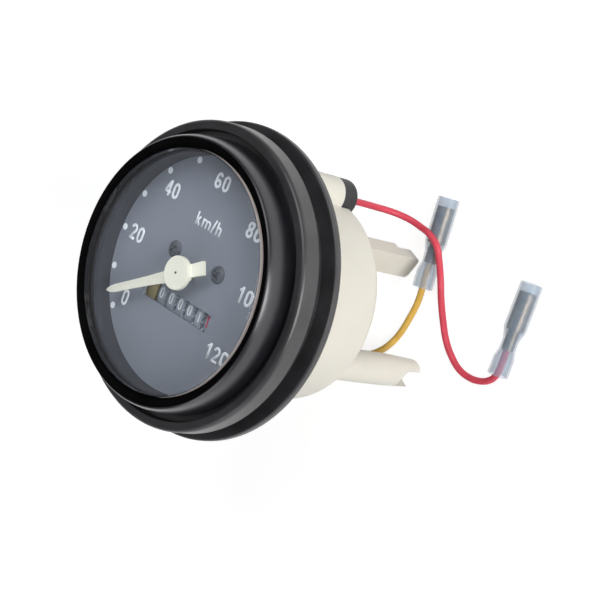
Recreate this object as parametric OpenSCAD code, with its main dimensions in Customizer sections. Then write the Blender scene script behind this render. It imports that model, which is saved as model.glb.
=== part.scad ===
// Round eddy-current speedometer with a six-drum distance counter, for a panel hole.
// The instrument stands face up on its four rear legs, with the floor at z = 0.
// The dial faces +Z, 3 o'clock is +X and 12 o'clock is +Y. All sizes are millimetres.

/* [Housing] */
// Clearance between the largest gear wheel and the cup wall
wheel_clear = 0.53; // [0.4:0.01:1.2]
// Wall thickness of the cup
cup_wall = 2; // [1.6:0.1:2.4]
// Thickness of the rear wall
rear_t = 2.5; // [2:0.1:2.8]
// Rounding of the rear edge of the cup
edge_r = 2.5; // [1.5:0.1:3]
// Clearance between the neck and the hooked edge of the bezel
neck_play = 0.2; // [0.1:0.05:0.3]
// Height of the neck below the dial face
neck_h = 12; // [11:0.5:13]
// Height of the flare between the neck and the cup
flare_h = 4; // [3:0.5:6]
// Thickness of the rim that carries the dial
rim_t = 2.4; // [2:0.1:2.8]
// Width of the ledge under the dial
ledge_w = 3; // [2.5:0.1:3.4]

/* [Legs] */
// Length of the legs behind the rear face
leg_len = 30; // [26:1:34]
// Diameter of the two slotted legs
post_d = 8.6; // [8.2:0.1:9.2]
// Diameter of a slotted leg at its tip
post_tip_d = 7.6; // [7.4:0.1:8]
// Height of the taper at the tip of a slotted leg
post_taper_h = 12; // [9:1:14]
// Direction of the first slotted leg from 3 o'clock
post_angle = 334; // [331:1:337]
// Width of the screw slot in a leg
slot_w = 6; // [5:0.1:6.2]
// Depth of the screw slot in a leg
slot_depth = 8; // [7:0.5:10]
// Direction of the first plain leg from 3 o'clock
tongue_angle = 70; // [68:1:72]
// Distance of the plain legs from the axis
tongue_r = 17.4; // [17:0.1:18]
// Radial size of a plain leg
tongue_t = 6.6; // [6:0.1:7]
// Tangential size of a plain leg
tongue_w = 5.4; // [5:0.1:6]
// Tangential size of the tip of a plain leg
tongue_tip_w = 3.8; // [3.4:0.1:4.4]
// Length of the narrow tip of a plain leg
tongue_tip_len = 6; // [5:0.5:8]

/* [Bezel and crystal] */
// Outer diameter of the dial, inner ring, gasket and crystal flange
stack_d = 65.6; // [65.4:0.1:65.7]
// Radial play of that stack in the bezel
stack_play = 0.2; // [0.1:0.05:0.25]
// Wall thickness of the bezel
bezel_wall = 1.2; // [1:0.1:1.4]
// Width of the bezel lip over the crystal flange
lip_w = 2.6; // [2.2:0.1:3]
// Thickness of the bezel lip at its inner edge
lip_t = 0.6; // [0.5:0.1:0.8]
// Height of the bezel crown above the inner edge of the lip
crown_rise = 1.1; // [0.8:0.1:1.3]
// Width of the rounded shoulder outside the crown
shoulder_w = 1.4; // [1:0.1:1.8]
// Height of the rounded shoulder outside the crown
shoulder_h = 1.9; // [1.4:0.1:2.2]
// Thickness of the hooked edge that holds the rim from behind
hook_t = 1.4; // [1:0.1:1.6]
// Width of the hooked edge inside the bezel bore
hook_w = 1; // [0.8:0.1:1.2]
// Height of the inner ring on the dial
inner_ring_h = 5.3; // [5.1:0.1:6]
// How far the inner ring stands out inside the bezel lip
inner_over = 0.5; // [0.2:0.1:0.8]
// Thickness of the sealing gasket
gasket_t = 0.5; // [0.4:0.1:0.8]
// Thickness of the crystal flange
crystal_flange_t = 0.8; // [0.6:0.1:1.2]
// Height of the crystal's centre above its flange
crystal_rise = 1.8; // [1.6:0.1:2.2]
// Radial play of the raised centre in the bezel lip
crystal_play = 0.1; // [0.05:0.05:0.2]
// Rounding of the front edge of the crystal
crystal_edge_r = 0.3; // [0.2:0.1:0.5]

/* [Mounting ring] */
// Wall of the rubber ring at the bottom of its panel groove
ring_wall = 1.25; // [1:0.05:1.6]
// Width of the front step outside the groove
step_lip = 3; // [2.6:0.1:3.4]
// Width of the rear flange outside the groove
flange_lip = 4.5; // [4:0.1:5.2]
// Height of the front step above the dial face
step_top = 2; // [1.6:0.1:2.2]
// Length of the front step
step_h = 5.6; // [5.2:0.1:6]
// Width of the panel groove
panel_w = 3.9; // [3:0.1:4]
// Thickness of the rear flange
flange_t = 2.1; // [1.8:0.1:2.2]
// Rounding of the rubber edges
rubber_r = 0.6; // [0.3:0.1:0.8]
// Width of the locating key in the panel groove
key_w = 2.4; // [2:0.1:3]
// Height of the locating key behind the front step
key_h = 1.8; // [1.4:0.1:1.9]
// Direction of the locating key from 3 o'clock
key_angle = 285; // [280:1:290]

/* [Dial and pointer] */
// Thickness of the dial plate
dial_t = 0.8; // [0.6:0.1:1]
// Width of the counter window beyond the last drum
window_over = 0.15; // [0.1:0.05:0.3]
// Width of the counter window beyond the first drum, over the bridge
window_left = 2.8; // [0.4:0.2:4]
// Height of the counter window
window_h = 4.6; // [4.2:0.1:5]
// Distance between the two dial screws
dial_screw_span = 16.9; // [16:0.1:18]
// Height of the dial screws above the centre
dial_screw_y = 3.6; // [3.4:0.1:4.2]
// Head diameter of the dial screws
dial_screw_head_d = 4.5; // [4:0.1:4.8]
// Shank diameter of the dial screws
dial_screw_d = 1.6; // [1.4:0.1:1.8]
// Diameter of the pointer hub
hub_d = 8.5; // [8:0.1:9]
// Thickness of the pointer hub
hub_t = 1.3; // [1:0.1:1.6]
// Bevel on the front edge of the pointer hub
hub_bevel = 0.4; // [0.2:0.05:0.6]
// Clearance between the pointer hub and the crystal
hub_clear = 0.5; // [0.4:0.1:1]
// Length of the needle from the centre
needle_len = 26.4; // [25:0.2:28]
// Width of the needle at the hub
needle_w = 3.2; // [2.8:0.1:3.6]
// Width of the needle where its rounded tip begins
needle_tip_w = 2.4; // [1.8:0.1:2.8]
// Length of the rounded tip of the needle
needle_tip_len = 3.4; // [2:0.2:5]
// Thickness of the needle
needle_t = 0.9; // [0.7:0.1:1]
// Length of the tail from the centre
tail_len = 8.7; // [8:0.1:9.4]
// Width of the tail
tail_w = 3.6; // [3.2:0.1:4]
// Direction of the resting needle from 3 o'clock
needle_angle = 211.5; // [209:0.5:216]
// Diameter of the pointer staff
staff_d = 1.2; // [1:0.1:1.3]

/* [Magnetic drive] */
// Diameter of the magnet
magnet_d = 17; // [16:0.2:17.4]
// Height of the magnet
magnet_h = 5.5; // [5:0.1:6]
// Radial air gap between the magnet and the speed cup
air_gap = 1; // [0.8:0.1:1.2]
// Wall thickness of the speed cup
speed_cup_t = 0.5; // [0.4:0.05:0.6]
// Radial air gap between the speed cup and the field cup
field_gap = 1; // [0.8:0.1:1.2]
// Wall thickness of the field cup
field_cup_t = 0.9; // [0.8:0.1:1.1]
// Diameter of the drive spindle in its bushing
spindle_d = 5; // [4.8:0.1:5.4]
// Diameter of the drive spindle above the worm
spindle_top_d = 3; // [2.8:0.1:3.2]
// Across-flats size of the cable socket
socket_af = 2.6; // [2.2:0.1:2.9]
// Depth of the cable socket
socket_depth = 8; // [6:0.5:10]
// Outer diameter of the cable collar
collar_d = 18; // [16:0.5:18.4]
// Length of the cable collar behind the rear face
collar_len = 16; // [14:0.5:19]
// Width of the relief groove between the collar and the rear face
relief_w = 1; // [0.6:0.1:1.6]
// Depth of the relief groove
relief_t = 0.8; // [0.6:0.1:1]
// Width of the collar's shoulder in the rear wall, outside its diameter
shoulder_over = 0.5; // [0.3:0.1:0.8]
// Outer diameter of the spindle bushing
bush_d = 8; // [7.6:0.1:8.6]
// Running clearance of every turning shaft, on the radius
run_fit = 0.05; // [0.03:0.01:0.08]
// Outer radius of the hairspring
hairspring_r = 5.2; // [4.8:0.1:5.3]
// Inner radius of the hairspring
hairspring_in_r = 1.8; // [1.7:0.1:2]
// Turns of the hairspring
hairspring_turns = 5; // [3:1:6]
// Height of the hairspring strip
hairspring_h = 0.5; // [0.3:0.1:0.6]
// Thickness of the hairspring strip
hairspring_t = 0.2; // [0.15:0.05:0.25]

/* [Movement] */
// Clearance between the movement's base and the cup wall
base_clear = 0.6; // [0.4:0.1:1]
// Thickness of the base
base_t = 1.5; // [1.4:0.1:1.8]
// Height of the shaft centres above the base
cross_rise = 4.2; // [4.1:0.1:4.6]
// Thickness of the bearing plate
plate_t = 1; // [0.8:0.1:1.2]
// Clearance between the bearing plate and the lamp bosses
plate_clear = 0.3; // [0.2:0.1:0.8]
// Thickness of the bridge
bridge_t = 1.5; // [1.2:0.1:1.6]
// Clearance between the bridge and the cup wall
bridge_clear = 1; // [0.6:0.1:1.4]
// Gap between the speed cup and the number drums
counter_clear = 2.8; // [2:0.1:4]
// Gap between the bridge and the dial
bridge_gap = 1.5; // [1.4:0.1:1.8]
// Width of the bearing plate outside its pillars
pillar_edge = 0.3; // [0.2:0.1:0.8]
// Diameter of the pillars
pillar_d = 4; // [3.6:0.1:4.4]
// Diameter of the pillar spigots and screws
spigot_d = 2; // [1.6:0.1:2.2]
// Length of the pillar spigots
spigot_len = 3; // [2:0.5:4]
// Head diameter of the movement screws
screw_head_d = 4.2; // [3.8:0.1:4.6]
// Head height of the movement screws
screw_head_h = 1; // [0.8:0.1:1.3]
// Distance of the case screws from the axis
case_screw_r = 16; // [15.6:0.1:16.4]
// Shank diameter of the case screws
case_screw_d = 2.5; // [2.2:0.1:3]
// Head diameter of the case screws
case_screw_head_d = 4.8; // [4.4:0.1:5.2]

/* [Gear train] */
// Tooth module of the lower gears
gear_m = 0.6; // [0.58:0.01:0.61]
// Tooth module of the counter drive gear
counter_m = 0.5; // [0.48:0.01:0.52]
// Pitch radius of the spindle worm
worm_1_r = 2.2; // [2.1:0.1:2.3]
// Pitch radius of the cross shaft worm
worm_2_r = 2.4; // [2.3:0.1:2.5]
// Pitch radius of the upright shaft worm
worm_3_r = 1.6; // [1.5:0.1:1.7]
// Length of the worms
worm_len = 6; // [5:0.5:6.4]
// Width of the worm wheels
wheel_w = 2; // [1.6:0.1:2.2]
// Diameter of the cross shaft and the upright shaft
shaft_d = 1.8; // [1.6:0.1:2]
// Diameter of the pivots at the shaft ends
pivot_d = 1.2; // [1:0.1:1.4]

/* [Distance counter] */
// Radius of the number drums
drum_r = 7; // [6.5:0.1:7.5]
// Height of the number rim above the pitch line of its ring gear
rim_over = 0.8; // [0.75:0.05:0.9]
// Spacing of the number drums
drum_pitch = 3.75; // [3.7:0.05:3.85]
// Gap between neighbouring drums
drum_gap = 0.2; // [0.15:0.05:0.3]
// Width of the locking disc on a drum
lock_w = 0.6; // [0.5:0.05:0.7]
// Width of the gear ring on a drum
ring_gear_w = 0.65; // [0.55:0.05:0.75]
// Depth of the drum faces behind the dial face
drum_sink = 2; // [1.9:0.1:2.3]
// Distance of the counter axle below the centre
axle_drop = 8.3; // [8.2:0.1:8.6]
// Diameter of the counter axle
axle_d = 2; // [1.8:0.1:2.2]
// Extra centre distance of the transfer pinions
pinion_play = 0.07; // [0.05:0.01:0.12]
// Diameter of the pinion axle
pinion_axle_d = 1.4; // [1.2:0.1:1.6]
// Gap between the last drum and the wheel that drives it
drive_gap = 1.45; // [1:0.05:1.6]
// Thickness of the counter brackets
bracket_t = 0.8; // [0.7:0.1:1]
// Side gap between the counter and its brackets
bracket_gap = 0.7; // [0.6:0.1:0.9]

/* [Lamps] */
// Direction of the first lamp boss from 3 o'clock
lamp_angle = 87; // [85:1:89]
// Direction of the second lamp boss from 3 o'clock
lamp_2_angle = 250; // [248:1:252]
// Distance of the lamp centres outside the cup
lamp_out = 0.7; // [0.5:0.1:1]
// Outer diameter of a lamp boss
lamp_boss_d = 10.2; // [9.8:0.1:10.6]
// Bore of a lamp boss
lamp_bore_d = 7.7; // [7.4:0.1:8]
// Length of the lamp holder cap behind the boss
holder_cap_h = 6; // [5:0.5:7]
// Length of the lamp holder plug inside the boss
holder_plug_h = 6; // [5:0.5:8]
// Rounding of the lamp holder cap
holder_round = 1.6; // [1:0.1:2]
// Distance of the boss end from the rear face of the cup
boss_rise = 5; // [4:0.5:7]
// Diameter of the bulb glass
bulb_d = 5; // [4.6:0.1:5.4]
// Length of the bulb glass in front of the holder
bulb_len = 11; // [9:0.5:12]
// Diameter of the bulb base
bulb_base_d = 4.2; // [3.8:0.1:4.5]

/* [Leads] */
// Diameter of the two leads
lead_d = 1.85; // [1.7:0.05:2]
// Length of a connector sleeve
sleeve_len = 25; // [24:0.5:26]
// Clearance between a sleeve and the bullet socket in it
sleeve_fit = 0.2; // [0.1:0.05:0.3]
// Outer diameter of the neck of a sleeve
sleeve_neck_d = 4.3; // [4.2:0.1:4.6]
// Wall thickness of a sleeve
sleeve_t = 0.5; // [0.4:0.05:0.55]
// Inner diameter of the bullet socket
socket_d = 3.9; // [3.7:0.1:4]
// Wall thickness of the bullet socket
socket_t = 0.35; // [0.3:0.05:0.4]
// Length of the bullet socket
socket_len = 10; // [8:0.5:11]

/* [Hidden] */

$fn = 72;
eps = 0.01;
cut = 1;
seat = 0.05;

cream = [0.93, 0.91, 0.84];
black = [0.09, 0.09, 0.10];
rubber = [0.14, 0.14, 0.15];
steel = [0.68, 0.69, 0.70];
zinc = [0.58, 0.59, 0.61];
brass = [0.80, 0.66, 0.36];
aluminium = [0.82, 0.83, 0.85];
drum_black = [0.12, 0.12, 0.13];

inside_z = leg_len + rear_t;
base_z = inside_z + base_t;
cross_z = base_z + cross_rise;

wheel_1_teeth = 10;
wheel_2_teeth = 20;
wheel_2_starts = 2;
wheel_3_teeth = 10;
ring_gear_teeth = 20;
pinion_teeth = 8;
wheel_1_r = gear_m * wheel_1_teeth / 2;
wheel_2_r = gear_m * wheel_2_teeth / 2;
wheel_3_r = counter_m * wheel_3_teeth / 2;
ring_gear_r = drum_r - rim_over;
pinion_m = 2 * ring_gear_r / ring_gear_teeth;
pinion_r = pinion_m * pinion_teeth / 2;
axle_y = -axle_drop;
pinion_y = axle_y - ring_gear_r - pinion_r - pinion_play;
cross_x = worm_1_r + wheel_1_r;
upright_x = cross_x + worm_2_r + wheel_2_r;
upright_y = axle_y - worm_3_r - wheel_3_r;

plate_over = 0.1;
plate_z = cross_z + wheel_1_r + gear_m + plate_over;
field_z = plate_z + plate_t;
magnet_clear = 1.3;
magnet_z = field_z + magnet_clear;
magnet_top = magnet_z + magnet_h;
cup_clear = 1;
speed_cup_z = magnet_top + cup_clear;
axle_z = speed_cup_z + speed_cup_t + counter_clear + drum_r;
face_z = axle_z + drum_r + drum_sink;
cup_in_r = magnet_d / 2 + air_gap;
speed_cup_r = cup_in_r + speed_cup_t;
field_in_r = speed_cup_r + field_gap;
field_r = field_in_r + field_cup_t;

inside_r = norm([upright_x, upright_y]) + wheel_2_r + 0.95 * gear_m + wheel_clear;
cup_r = inside_r + cup_wall;
stack_r = stack_d / 2;
bore_r = stack_r + stack_play;
bezel_r = bore_r + bezel_wall;
lip_r = stack_r - lip_w;
hook_r = bore_r - hook_w;
neck_r = hook_r - neck_play;
ledge_r = stack_r - ledge_w;
rim_top = face_z - dial_t;
rim_bottom = rim_top - rim_t;
neck_z = face_z - neck_h;
flare_z = neck_z - flare_h;
gasket_z = face_z + inner_ring_h;
crystal_z = gasket_z + gasket_t;
lip_z = crystal_z + crystal_flange_t;
crystal_top = lip_z + crystal_rise;
hook_z = rim_bottom - hook_t;
bridge_top = face_z - dial_t - bridge_gap;
bridge_z = bridge_top - bridge_t;

lamp_r = cup_r + lamp_out;
base_r = inside_r - base_clear;
bridge_r = inside_r - bridge_clear;
plate_r = lamp_r - lamp_boss_d / 2 - plate_clear;
pillar_r = plate_r - pillar_edge - pillar_d / 2;

drum_count = 6;
drum_w = drum_pitch - drum_gap;
counter_w = drum_count * drum_pitch - drum_gap;
counter_left = upright_x - wheel_w / 2 - drive_gap - counter_w;
counter_x = counter_left + counter_w / 2;
drum_bore_r = axle_d / 2 + run_fit;
pillar_angles = [25, 155, 215];
case_screw_angles = [20, 110, 200, 290];
socket_r = socket_d / 2 + socket_t;
sleeve_r = socket_r + sleeve_fit + sleeve_t;

// Quarter or longer arc in a profile, from angle a0 to angle a1.
function arc(cx, cy, rx, ry, a0, a1, n) =
  [for (i = [0:n]) let (a = a0 + (a1 - a0) * i / n) [cx + rx * cos(a), cy + ry * sin(a)]];

// Place something at a radius and a direction.
module at_angle(r, a, z = 0) {
  rotate([0, 0, a]) translate([r, 0, z]) children();
}

// Ring with square edges.
module ring(r_out, r_in, h) {
  difference() {
    cylinder(r = r_out, h = h);
    translate([0, 0, -cut]) cylinder(r = r_in, h = h + 2 * cut);
  }
}

/* Housing */

module cup_outside() {
  rotate_extrude($fn = 120)
    polygon(concat(
      [[0, leg_len]],
      arc(cup_r - edge_r, leg_len + edge_r, edge_r, edge_r, -90, 0, 6),
      [[cup_r, flare_z], [neck_r, neck_z], [neck_r, rim_bottom],
       [stack_r, rim_bottom], [stack_r, rim_top], [0, rim_top]]
    ));
}

module cup_inside() {
  rotate_extrude($fn = 120)
    polygon([
      [0, inside_z], [inside_r, inside_z], [inside_r, flare_z + cup_wall / 2],
      [ledge_r, neck_z + cup_wall / 2], [ledge_r, rim_top + cut], [0, rim_top + cut]
    ]);
}

boss_z = leg_len + boss_rise;
boss_top = face_z + step_top - step_h - panel_w - flange_t - 0.4;
lamp_bore_top = boss_top - cup_wall;
lamp_window_z = boss_z + holder_plug_h + 5;
pocket_r = lamp_boss_d / 2 + 0.2;
pocket_wall = 1.2;

module slotted_leg() {
  post_r = post_d / 2;
  slot_z = slot_depth - slot_w / 2;
  difference() {
    union() {
      cylinder(r1 = post_tip_d / 2, r2 = post_r, h = post_taper_h, $fn = 48);
      translate([0, 0, post_taper_h])
        cylinder(r = post_r, h = leg_len + rear_t - post_taper_h, $fn = 48);
    }
    translate([-post_r - cut, -slot_w / 2, -cut])
      cube([post_d + 2 * cut, slot_w, slot_z + cut]);
    translate([-post_r - cut, 0, slot_z])
      rotate([0, 90, 0]) cylinder(d = slot_w, h = post_d + 2 * cut, $fn = 48);
  }
}

// Flat tongue with rounded lower corners, drawn from the side and given its width.
module tongue(width, z0, z1, corner) {
  rotate([90, 0, 0])
    linear_extrude(width, center = true)
      union() {
        translate([-tongue_t / 2, z0 + corner]) square([tongue_t, z1 - z0 - corner]);
        translate([-tongue_t / 2 + corner, z0]) square([tongue_t - 2 * corner, corner + eps]);
        for (side = [-1, 1])
          translate([side * (tongue_t / 2 - corner), z0 + corner]) circle(corner, $fn = 32);
      }
}

module plain_leg() {
  tip_shift = (tongue_tip_w - tongue_w) / 2;
  translate([0, tip_shift, 0]) tongue(tongue_tip_w, 0, tongue_tip_len + cut, 1.4);
  tongue(tongue_w, tongue_tip_len, leg_len + rear_t, 0.8);
}

// Closed wall round the part of a lamp holder that lies inside the cup.
module lamp_pocket() {
  intersection() {
    for (a = [lamp_angle, lamp_2_angle])
      at_angle(lamp_r, a, leg_len)
        cylinder(r = pocket_r + pocket_wall, h = boss_rise + pocket_wall);
    cylinder(r = inside_r + eps, h = face_z);
  }
}

module housing() {
  color(cream)
    difference() {
      union() {
        difference() {
          cup_outside();
          cup_inside();
        }
        lamp_pocket();
        for (a = [lamp_angle, lamp_2_angle])
          at_angle(lamp_r, a, boss_z) cylinder(d = lamp_boss_d, h = boss_top - boss_z);
        for (a = [post_angle, post_angle - 180])
          at_angle(cup_r - post_d / 2, a) slotted_leg();
        for (a = [tongue_angle, tongue_angle + 180]) at_angle(tongue_r, a) plain_leg();
      }
      for (a = [lamp_angle, lamp_2_angle]) {
        at_angle(lamp_r, a, leg_len - cut) cylinder(r = pocket_r, h = boss_rise + cut);
        at_angle(lamp_r, a, boss_z - cut)
          cylinder(d = lamp_bore_d, h = lamp_bore_top - boss_z + cut);
      }
      intersection() {
        cup_inside();
        translate([0, 0, lamp_window_z]) cylinder(r = stack_r, h = face_z - lamp_window_z + cut);
      }
      translate([0, 0, leg_len - cut])
        cylinder(r = collar_d / 2 + shoulder_over + seat, h = rear_t + 2 * cut);
      for (a = case_screw_angles)
        at_angle(case_screw_r, a, leg_len - cut)
          cylinder(d = case_screw_d, h = rear_t + 2 * cut, $fn = 32);
    }
}

/* Front stack */

module bezel() {
  lip_top = lip_z + lip_t;
  crown_z = lip_top + crown_rise;
  color(black)
    rotate_extrude($fn = 120)
      polygon(concat(
        [[hook_r, hook_z], [bezel_r, hook_z]],
        arc(bezel_r - shoulder_w, crown_z - shoulder_h, shoulder_w, shoulder_h, 0, 90, 7),
        [[lip_r, lip_top], [lip_r, lip_z], [bore_r, lip_z], [bore_r, rim_bottom],
         [hook_r, rim_bottom]]
      ));
}

module crystal() {
  crystal_r = lip_r - crystal_play;
  color([0.80, 0.85, 0.90, 0.35])
    rotate_extrude($fn = 120)
      polygon(concat(
        [[0, crystal_z], [stack_r, crystal_z], [stack_r, lip_z], [crystal_r, lip_z]],
        arc(crystal_r - crystal_edge_r, crystal_top - crystal_edge_r,
            crystal_edge_r, crystal_edge_r, 0, 90, 4),
        [[0, crystal_top]]
      ));
}

module crystal_gasket() {
  color(rubber) translate([0, 0, gasket_z]) ring(stack_r, lip_r, gasket_t, $fn = 120);
}

module inner_ring() {
  color(black)
    translate([0, 0, face_z]) ring(stack_r, lip_r - inner_over, inner_ring_h, $fn = 120);
}

module mounting_ring() {
  snug_r = bezel_r + seat;
  groove_r = snug_r + ring_wall;
  step_r = groove_r + step_lip;
  flange_r = groove_r + flange_lip;
  top = face_z + step_top;
  step_bottom = top - step_h;
  flange_top = step_bottom - panel_w;
  bottom = flange_top - flange_t;
  gutter_r = snug_r + 1.4;
  gutter_z = top - 1.8;
  color(rubber) {
    rotate_extrude($fn = 120)
      polygon(concat(
        [[neck_r + seat, bottom]],
        arc(flange_r - rubber_r, bottom + rubber_r, rubber_r, rubber_r, -90, 0, 3),
        arc(flange_r - rubber_r, flange_top - rubber_r, rubber_r, rubber_r, 0, 90, 3),
        [[groove_r, flange_top], [groove_r, step_bottom]],
        arc(step_r - rubber_r, step_bottom + rubber_r, rubber_r, rubber_r, -90, 0, 3),
        arc(step_r - 2 * rubber_r, top - 2 * rubber_r, 2 * rubber_r, 2 * rubber_r, 0, 90, 4),
        [[gutter_r + 0.4, top], [gutter_r, gutter_z], [snug_r, gutter_z],
         [snug_r, hook_z], [neck_r + seat, hook_z]]
      ));
    at_angle(groove_r - 1, key_angle, step_bottom - key_h)
      translate([0, -key_w / 2, 0]) cube([step_r - groove_r, key_w, key_h + eps]);
  }
}

module dial_plate() {
  color([0.16, 0.17, 0.19])
    difference() {
      translate([0, 0, rim_top]) cylinder(r = stack_r, h = dial_t, $fn = 120);
      translate([0, 0, rim_top - cut]) cylinder(d = staff_d + 1.4, h = dial_t + 2 * cut);
      translate([counter_left - window_left, axle_y - window_h / 2, rim_top - cut])
        cube([counter_w + window_left + window_over, window_h, dial_t + 2 * cut]);
      for (side = [-1, 1])
        translate([side * dial_screw_span / 2, dial_screw_y, rim_top - cut])
          cylinder(d = dial_screw_d, h = dial_t + 2 * cut, $fn = 32);
    }
}

module dial_screws() {
  head_h = 1;
  recess_len = 0.55 * dial_screw_head_d;
  recess_w = 0.6;
  recess_t = 0.6;
  color(black)
    for (side = [-1, 1])
      translate([side * dial_screw_span / 2, dial_screw_y, 0]) {
        translate([0, 0, bridge_z + seat])
          cylinder(d = dial_screw_d, h = face_z - bridge_z, $fn = 32);
        difference() {
          translate([0, 0, face_z])
            rotate_extrude($fn = 32)
              polygon(concat([[0, 0]], arc(0, 0, dial_screw_head_d / 2, head_h, 0, 90, 5)));
          for (turn = [45, 135])
            rotate([0, 0, turn])
              translate([-recess_len / 2, -recess_w / 2, face_z + head_h - recess_t])
                cube([recess_len, recess_w, recess_t + cut]);
        }
      }
}

/* Pointer and its return spring */

hub_top = crystal_z - hub_clear;
hub_z = hub_top - hub_t;
needle_z = hub_z - 0.2;

// Needle with a ridge along its middle, from the hub to an elliptical tip.
module needle() {
  tip_r = needle_tip_w / 2;
  tip_x = needle_len - needle_tip_len;
  outline = concat([[0, needle_w / 2]], arc(tip_x, 0, needle_tip_len, tip_r, 90, -90, 10),
                   [[0, -needle_w / 2]]);
  n = len(outline);
  hub_ridge = 2 * n;
  tip_ridge = 2 * n + 1;
  polyhedron(
    points = concat(
      [for (p = outline) [p[0], p[1], 0]],
      [for (p = outline) [p[0], p[1], needle_t / 2]],
      [[0, 0, needle_t], [tip_x, 0, needle_t]]
    ),
    faces = concat(
      [[for (i = [n - 1:-1:0]) i]],
      [for (i = [0:n - 2]) [i, i + 1, n + i + 1, n + i]],
      [for (i = [0:n - 2]) [n + i, n + i + 1, tip_ridge]],
      [[n, tip_ridge, hub_ridge], [2 * n - 1, hub_ridge, tip_ridge]],
      [[n - 1, 0, n, hub_ridge, 2 * n - 1]]
    )
  );
}

module pointer() {
  color([0.91, 0.90, 0.84])
    rotate([0, 0, needle_angle])
      difference() {
        union() {
          translate([0, 0, hub_z]) cylinder(d = hub_d, h = hub_t - hub_bevel);
          translate([0, 0, hub_top - hub_bevel])
            cylinder(d1 = hub_d, d2 = hub_d - 2 * hub_bevel, h = hub_bevel);
          translate([0, 0, face_z + 1]) cylinder(d = hub_d / 2.5, h = hub_z - face_z - 1 + eps);
          translate([0, 0, needle_z]) needle();
          translate([-tail_len, -tail_w / 2, needle_z]) cube([tail_len, tail_w, needle_t]);
        }
        translate([0, 0, face_z]) cylinder(d = staff_d, h = hub_top - face_z - 0.5);
      }
}

module pointer_staff() {
  staff_z = speed_cup_z;
  staff_top = hub_top - 0.5;
  pivot_len = cup_clear + 1.2;
  color(steel) {
    translate([0, 0, staff_z]) cylinder(d = staff_d, h = staff_top - staff_z);
    translate([0, 0, staff_z - pivot_len]) cylinder(d = staff_d / 2, h = pivot_len + eps);
  }
}

collet_h = 0.9;
collet_z = bridge_top + 0.2;
collet_r = hairspring_in_r - 0.35;

module collet() {
  color(brass) translate([0, 0, collet_z]) ring(collet_r, staff_d / 2, collet_h);
}

hairspring_z = collet_z + (collet_h - hairspring_h) / 2;

// Flat spiral strip whose inner end lies beside the collet and outer end at the stud.
module hairspring() {
  steps = 24 * hairspring_turns;
  grow = hairspring_r - hairspring_in_r;
  outer = [for (i = [0:steps]) let (
      a = 90 + 360 * hairspring_turns * i / steps,
      r = hairspring_in_r + grow * i / steps
    ) [r * cos(a), r * sin(a)]];
  inner = [for (i = [steps:-1:0]) let (
      a = 90 + 360 * hairspring_turns * i / steps,
      r = hairspring_in_r + grow * i / steps - hairspring_t
    ) [r * cos(a), r * sin(a)]];
  color(steel)
    translate([0, 0, hairspring_z]) linear_extrude(hairspring_h) polygon(concat(outer, inner));
}

module hairspring_stud() {
  stud_w = 1;
  color(brass)
    translate([-stud_w / 2, hairspring_r, bridge_top])
      cube([stud_w, stud_w, hairspring_z + hairspring_h - bridge_top]);
}

/* Plates, pillars and screws of the movement */

post_h = bridge_gap;

module bridge() {
  color(zinc)
    difference() {
      union() {
        translate([0, 0, bridge_z]) cylinder(r = bridge_r, h = bridge_t, $fn = 96);
        for (side = [-1, 1])
          translate([side * dial_screw_span / 2, dial_screw_y, bridge_z])
            cylinder(d = dial_screw_head_d, h = bridge_t + post_h);
      }
      drum_window();
      translate([0, 0, bridge_z - cut])
        cylinder(r = staff_d / 2 + run_fit, h = bridge_t + 2 * cut, $fn = 48);
      translate([upright_x, upright_y, bridge_z - cut])
        cylinder(r = pivot_d / 2 + run_fit, h = bridge_t + 2 * cut, $fn = 48);
      for (side = [-1, 1])
        translate([side * dial_screw_span / 2, dial_screw_y, bridge_z - cut])
          cylinder(d = dial_screw_d, h = bridge_t + post_h + 2 * cut, $fn = 32);
      for (a = pillar_angles)
        at_angle(pillar_r, a, bridge_z - cut)
          cylinder(d = spigot_d, h = bridge_t + 2 * cut, $fn = 32);
    }
}

// The drums stand through the bridge here.
module drum_window() {
  margin = 0.4;
  rise = bridge_z - axle_z;
  half = sqrt(drum_r * drum_r - rise * rise) + margin;
  translate([counter_left - margin, axle_y - half, bridge_z - cut])
    cube([counter_w + 2 * margin, 2 * half, bridge_t + 2 * cut]);
}

module bridge_screws() {
  color(steel)
    for (a = pillar_angles)
      at_angle(pillar_r, a) {
        translate([0, 0, bridge_top])
          rotate_extrude($fn = 32)
            polygon(concat([[0, 0]], arc(0, 0, screw_head_d / 2, screw_head_h, 0, 90, 4)));
        translate([0, 0, bridge_z - spigot_len])
          cylinder(d = spigot_d, h = spigot_len + bridge_t + eps, $fn = 32);
      }
}

module upper_pillars() {
  color(brass)
    for (a = pillar_angles)
      at_angle(pillar_r, a)
        difference() {
          union() {
            translate([0, 0, field_z]) cylinder(d = pillar_d, h = bridge_z - field_z);
            translate([0, 0, plate_z - spigot_len])
              cylinder(d = spigot_d, h = spigot_len + plate_t + eps, $fn = 32);
          }
          translate([0, 0, bridge_z - spigot_len])
            cylinder(d = spigot_d, h = spigot_len + cut, $fn = 32);
        }
}

module bearing_plate() {
  color(zinc)
    difference() {
      translate([0, 0, plate_z]) cylinder(r = plate_r, h = plate_t, $fn = 96);
      translate([0, 0, plate_z - cut])
        cylinder(r = spindle_top_d / 2 + run_fit, h = plate_t + 2 * cut);
      translate([upright_x, upright_y, plate_z - cut])
        cylinder(d = shaft_d + 1.4, h = plate_t + 2 * cut, $fn = 48);
      for (a = pillar_angles)
        at_angle(pillar_r, a, plate_z - cut)
          cylinder(d = spigot_d, h = plate_t + 2 * cut, $fn = 32);
    }
}

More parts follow.
